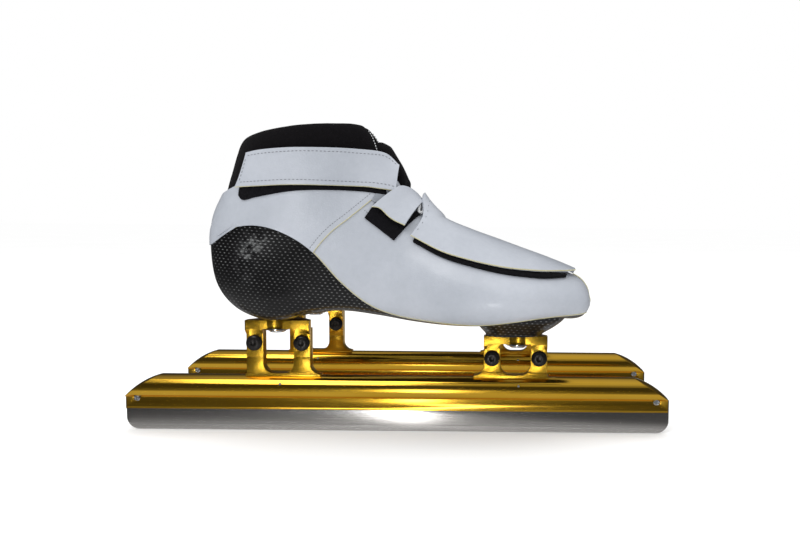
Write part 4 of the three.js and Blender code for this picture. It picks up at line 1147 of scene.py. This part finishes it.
STRAP_BOTTOM = [(-114.5, 190.6), (-97, 192), (-77, 193.3), (-51, 193.4), (-25, 192.4), (-9, 190.6),
                (-0.6, 189)]
STRAP_TOP = [(-106, 216.2), (-94, 218.4), (-72, 220.3), (-50, 220.8), (-30, 220.4), (-10, 217.6),
             (-1.6, 207.4)]
STRAP_BAND_LOW = [(-113, 185), (-109, 181.5), (-98, 184), (-72, 188.6), (-45, 189.6), (-22, 188.6),
                  (-5, 186.4)]
STRAP_BAND_TOP = [(-110, 206), (-106, 207), (-96, 208), (-72, 209), (-45, 209), (-25, 206), (-10, 203)]
ANCHOR_FRONT = 0.865 * math.pi
HEMS = (0.115, 0.885)                  # where across the strap its two rows of stitches run


def strap_edge(u):
    """The ankle strap's two edges, from its free end to the tongue."""
    return [side_line(STRAP_BOTTOM, u), side_line(STRAP_TOP, u)]


def anchor_edge(u):
    """The strap's sewn half, mirrored to the inner side."""
    return [(t, 2 * math.pi - np.minimum(angle, ANCHOR_FRONT)) for t, angle in strap_edge(0.5 + u / 2)]


def strap_lift(base):
    """The strap rides up on the tongue's padding at its front end."""
    return lambda u, v: base + 2.6 * np.clip((u - 0.86) / 0.14, 0, 1) ** 1.5 * (0.35 + 0.65 * v)


def build_ankle_strap():
    strap = plate(strap_edge, 90, 16, strap_lift(2.1), strap_lift(4.1))
    finish(strap, "ankle_strap_leather", "leather cream", "ankle_strap", body="ankle_flap")
    piping("ankle_strap_piping", [plate_grid(strap_edge, 90, 16, strap_lift(3.4))[:, 0]], 0.4, "ankle_flap")
    rows = [row_on(strap_edge, v, strap_lift(4.12), 0.03, 0.975) for v in HEMS]
    rows.append(plate_grid(strap_edge, 100, 60, 4.12)[3, 7:54])
    sew("ankle_strap_stitches", rows, body="ankle_flap")
    anchor = plate(anchor_edge, 50, 14, 0.9, 3.0)
    finish(anchor, "ankle_anchor_leather", "leather cream", "ankle_strap_anchor")
    sew("ankle_anchor_stitches", [row_on(anchor_edge, v, 3.02, 0.02, 0.97) for v in HEMS])
    band = side_plate(STRAP_BAND_LOW, STRAP_BAND_TOP, 70, 14, 0.9, 2.0, 0.3)
    finish(band, "ankle_loop_tape", "loop loop", "ankle_loop_band")


INSTEP_FREE = [(-15.5, 176.8), (9, 161.5)]
INSTEP_RIDGE = (9.95, 9.35)
INSTEP_ANCHOR = 1.17 * math.pi


def instep_edge(u):
    result = []
    for (x, z), ridge in zip(INSTEP_FREE, INSTEP_RIDGE):
        t0, angle0 = on_side(x, z)
        angle = angle0 + (INSTEP_ANCHOR - angle0) * u
        reach = np.clip((angle - angle0) / (math.pi - angle0), 0, 1)
        result.append((t0 + (ridge - t0) * reach, angle))
    return result


def instep_lift(base):
    """The strap curls off at its free edge, and most of all at its toeward corner."""
    return lambda u, v: (base + 2.2 * np.exp(-((u / 0.2) ** 2)) * (0.25 + 0.75 * v)
                         + 0.5 * np.clip(u / 0.6, 0, 1))


def instep_bend(u, v):
    """The heelward corner over the ankle strap's end, and the wave in the free edge."""
    corner = np.clip(np.minimum(u / 0.34, (0.62 - u) / 0.28), 0, 1)
    wave = 0.05 * np.sin(math.pi * v) * np.cos(math.pi * v * 0.9) * np.clip(1 - u / 0.3, 0, 1)
    return 0.42 * corner * (1 - v) ** 1.5, wave


def build_instep_strap():
    strap = plate(instep_edge, 60, 24, instep_lift(3.3), instep_lift(5.2), bend=instep_bend)
    finish(strap, "instep_strap_leather", "leather cream", "instep_strap", body="instep_flap")
    edge = plate_grid(instep_edge, 60, 24, instep_lift(4.5), instep_bend)[0]
    piping("instep_strap_piping", [edge], 0.5, "instep_flap")
    # The black loop patch reaches up into the throat's corner under the instep strap, where the black tongue
    # lies and the strap's shade falls: in part it is painted shade.
    patch = side_plate([(-20.5, 169), (1.9, 152.2)], [(-13, 181), (20.5, 172.5)], 24, 18, 0.8, 2.1, 0.3)
    finish(patch, "instep_loop_tape", "loop loop", "instep_loop_patch")
    stay = side_plate([(-16.2, 182.6), (-5, 174)], [(-10.5, 192), (0.5, 190.5)], 12, 8, 0.8, 1.6, 0.2)
    finish(stay, "lace_stay", "patch lining")


COVER_LOWER = [(14.4, 154.5), (37, 143), (60, 136), (84, 130.8), (107, 128), (124, 127), (137, 126.2)]
COVER_HEEL, COVER_TOE = 8.35, 2.45
COVER_ANCHOR = 1.2 * math.pi
EAR_AT = 0.72                          # where across the cover its heel end stands up
EAR_LENGTH = 0.06                      # as a share of the cover's length


def cover_edge(u):
    inner = COVER_HEEL + (COVER_TOE - COVER_HEEL) * u
    return [side_line(COVER_LOWER, u), (inner, COVER_ANCHOR - 0.11 * np.sin(math.pi * u))]


def cover_lift(base):
    """The heel end stands up over the ridge as an ear."""
    def lift(u, v):
        ear = np.exp(-(((v - EAR_AT) / 0.19) ** 2))
        slope = np.clip(1 - u / EAR_LENGTH, 0, 1)
        return base + ear * (1.6 + 3.6 * slope) * np.clip((EAR_LENGTH + 0.006 - u) / 0.01, 0, 1)
    return lift


def cover_bend(u, v):
    """The ear also reaches towards the heel."""
    ear = np.exp(-(((v - EAR_AT) / 0.3) ** 2))
    return 1.2 * ear * np.clip(1 - u / EAR_LENGTH, 0, 1), 0 * v


def cover_band_edge(u):
    t, angle = side_line(lowered(COVER_LOWER, 2.6), 0.02 + 0.88 * u)
    return [(t, angle + 0.09 * np.clip((u - 0.8) / 0.2, 0, 1) ** 2), (t, angle + 0.17)]


def build_lace_cover():
    cover = plate(cover_edge, 150, 44, cover_lift(3.7), cover_lift(5.6), bend=cover_bend)
    finish(cover, "lace_cover_leather", "leather cream", "lace_cover", body="cover_flap")
    edge, row = (plate_grid(cover_edge, 150, 80, cover_lift(height), cover_bend) for height in (5.0, 5.62))
    piping("lace_cover_piping", [edge[:, 0]], 0.5, "cover_flap")
    rows = [row[3, 3:50], row_on(cover_edge, 0.93, 5.62, 0.18, 0.96)]
    sew("lace_cover_stitches", rows, 7.0, 1.2, 0.32, "cover_flap")
    band = plate(cover_band_edge, 80, 8, 0.8, 3.3, 0.5)
    finish(band, "cover_loop_tape", "loop loop", "cover_loop_band")


# The front block's height, rear and front ends and half-width, from its foot up.
BLOCK_STATIONS = [[78.4, 70, 113, 15], [80.9, 69, 115.5, 17], [86.4, 64.5, 124, 24], [92.4, 62, 131, 31],
                  [98.4, 62, 134, 33]]


def build_front_block(side):
    """The moulded carbon block between one boot's sole and its front bracket."""
    angle = np.linspace(0, 2 * math.pi, 73)
    across, out = (np.sign(wave) * np.abs(wave) ** 0.6 for wave in (np.cos(angle), np.sin(angle)))
    rings = []
    for z, x0, x1, half in spline(BLOCK_STATIONS, np.linspace(0, 1, 25)):
        x = SETBACK[side] + (x0 + x1) / 2 + (x1 - x0) / 2 * across
        rings.append(np.stack([x, half * out, np.full(x.shape, z)], 1))
    body = closed_form(np.stack(rings))
    t = np.linspace(0, LAST, 120)
    boot = closed_form(skin(t[:, None], np.linspace(0, 2 * math.pi, 61)[None, :], -0.1))
    bevelled(combine(body, [boot], "DIFFERENCE"), 0.5, 3, 50)
    finish(body, "front_carbon_block", "carbon", "front_mount_block", sides=[side])


def build_boots():
    build_shell()
    build_upper()
    build_quarter()
    build_edge_piping()
    build_toe_cap()
    build_toe_welt()
    build_collar()
    build_tongue()
    build_insole()
    build_laces()
    build_ankle_strap()
    build_instep_strap()
    build_lace_cover()
    for side in SIDES:
        build_front_block(side)


# ---- stage
def build_floor():
    bm = bmesh.new()
    bmesh.ops.create_grid(bm, x_segments=2, y_segments=2, size=30.0)
    floor = from_bmesh(bm, "floor")
    floor.location.z = -0.0002
    g = material_graph("floor")
    colour = g.ramp(g.noise(2.0, 2.0), [(0.3, grey(0.985)), (0.7, grey(1.0))])
    floor.data.materials.append(g.set(Base_Color=colour, Roughness=0.95, Specular_IOR_Level=0.0))
    # metal shows the studio, which is dim in front, and not the bright sheet under it
    floor.visible_glossy = False


# What polished metal mirrors: how bright the studio is at each elevation in degrees,
SKY_BANDS = [(-90, 0.4), (-60, 0.5), (-32, 0.55), (-20, 0.13), (-12, 0.07), (0, 0.05), (30, 0.05), (44, 0.26),
             (58, 0.5), (75, 0.6), (90, 0.5)]
# and its low glows: bearing and half width in radians, and strength.
GLOWS = ((-0.118, 0.036, 15.0), (-0.12, 0.3, 0.24), (2.9, 0.12, 0.8))
GLOW_DROP, GLOW_HEIGHT = 13, 11        # degrees below the horizon, and half height


def build_world():
    """A white studio. What polished metal mirrors is banded: bright above, dim in front, mid below."""
    world = bpy.data.worlds.new("studio")
    bpy.context.scene.world = world
    world.cycles.sampling_method = "NONE"
    g = Graph(world)
    split = g.split(g.node("ShaderNodeTexCoord").outputs["Generated"])
    elevation = g.mad(g.math("ARCSINE", split["Z"]), 1 / math.pi, 0.5)
    bands = g.ramp(elevation, [((angle + 90) / 180, grey(level / 2)) for angle, level in SKY_BANDS])
    total = g.mul(bands, 2.0)
    bearing = g.math("ARCTAN2", split["X"], g.mul(split["Y"], -1.0))
    # the glows stand low, where the flat sides of the blades mirror them
    drop = g.math("DIVIDE", g.math("SUBTRACT", elevation, 0.5 - GLOW_DROP / 180), GLOW_HEIGHT / 180)
    low_down = g.bell(g.mul(drop, drop))
    for middle, core, level in GLOWS:
        away = g.math("DIVIDE", g.math("SUBTRACT", bearing, middle), core)
        glow = g.bell(g.mul(away, away))
        total = g.mad(g.mul(glow, low_down), level, total)
    mirrored = g.node("ShaderNodeLightPath").outputs["Is Glossy Ray"]
    strength = g.node("ShaderNodeMix", {"Factor": mirrored, 2: 1.0, 3: total}, data_type="FLOAT")
    background = g.tree.nodes["Background"]
    g.feed(background.inputs["Color"], (1, 1, 1, 1))
    g.feed(background.inputs["Strength"], strength.outputs[0])


def area_light(name, spot, target, size, power, glossy=True):
    data = bpy.data.lights.new(name, "AREA")
    data.shape = "RECTANGLE"
    data.size, data.size_y = size
    data.energy = power
    light = new_object(name, data)
    light.location = spot
    light.rotation_euler = (Vector(target) - Vector(spot)).to_track_quat("-Z", "Y").to_euler()
    light.visible_glossy = glossy
    light.visible_camera = False


def build_lights():
    area_light("key", (-0.5, -0.9, 1.3), (-0.02, 0, 0.12), (0.7, 0.7), 7.0)
    area_light("top", (0.1, 0.1, 1.5), (0, 0, 0.1), (1.4, 0.9), 5.0, glossy=False)


CAMERA_SPOT = (0.092, -0.6165, 0.1661)
CAMERA_PITCH, CAMERA_ROLL = 0.0601, 0.0091
CAMERA_LENS, CAMERA_SHIFT = 32.18, -0.1431


def build_camera():
    data = bpy.data.cameras.new("camera")
    data.sensor_width = 36
    data.lens = CAMERA_LENS
    data.shift_x = CAMERA_SHIFT
    data.clip_end = 200
    camera = new_object("camera", data)
    forward = Vector((0, math.cos(CAMERA_PITCH), -math.sin(CAMERA_PITCH)))
    level_up = Vector((0, math.sin(CAMERA_PITCH), math.cos(CAMERA_PITCH)))
    across = Vector((1, 0, 0))
    right = across * math.cos(CAMERA_ROLL) + level_up * math.sin(CAMERA_ROLL)
    up = level_up * math.cos(CAMERA_ROLL) - across * math.sin(CAMERA_ROLL)
    rotation = Matrix((right, up, -forward)).transposed().to_4x4()
    camera.matrix_world = Matrix.Translation(CAMERA_SPOT) @ rotation
    bpy.context.scene.camera = camera


build_camera()
build_floor()
build_world()
build_lights()
build_blade_units()
build_boots()
bpy.context.scene.view_settings.view_transform = "Standard"
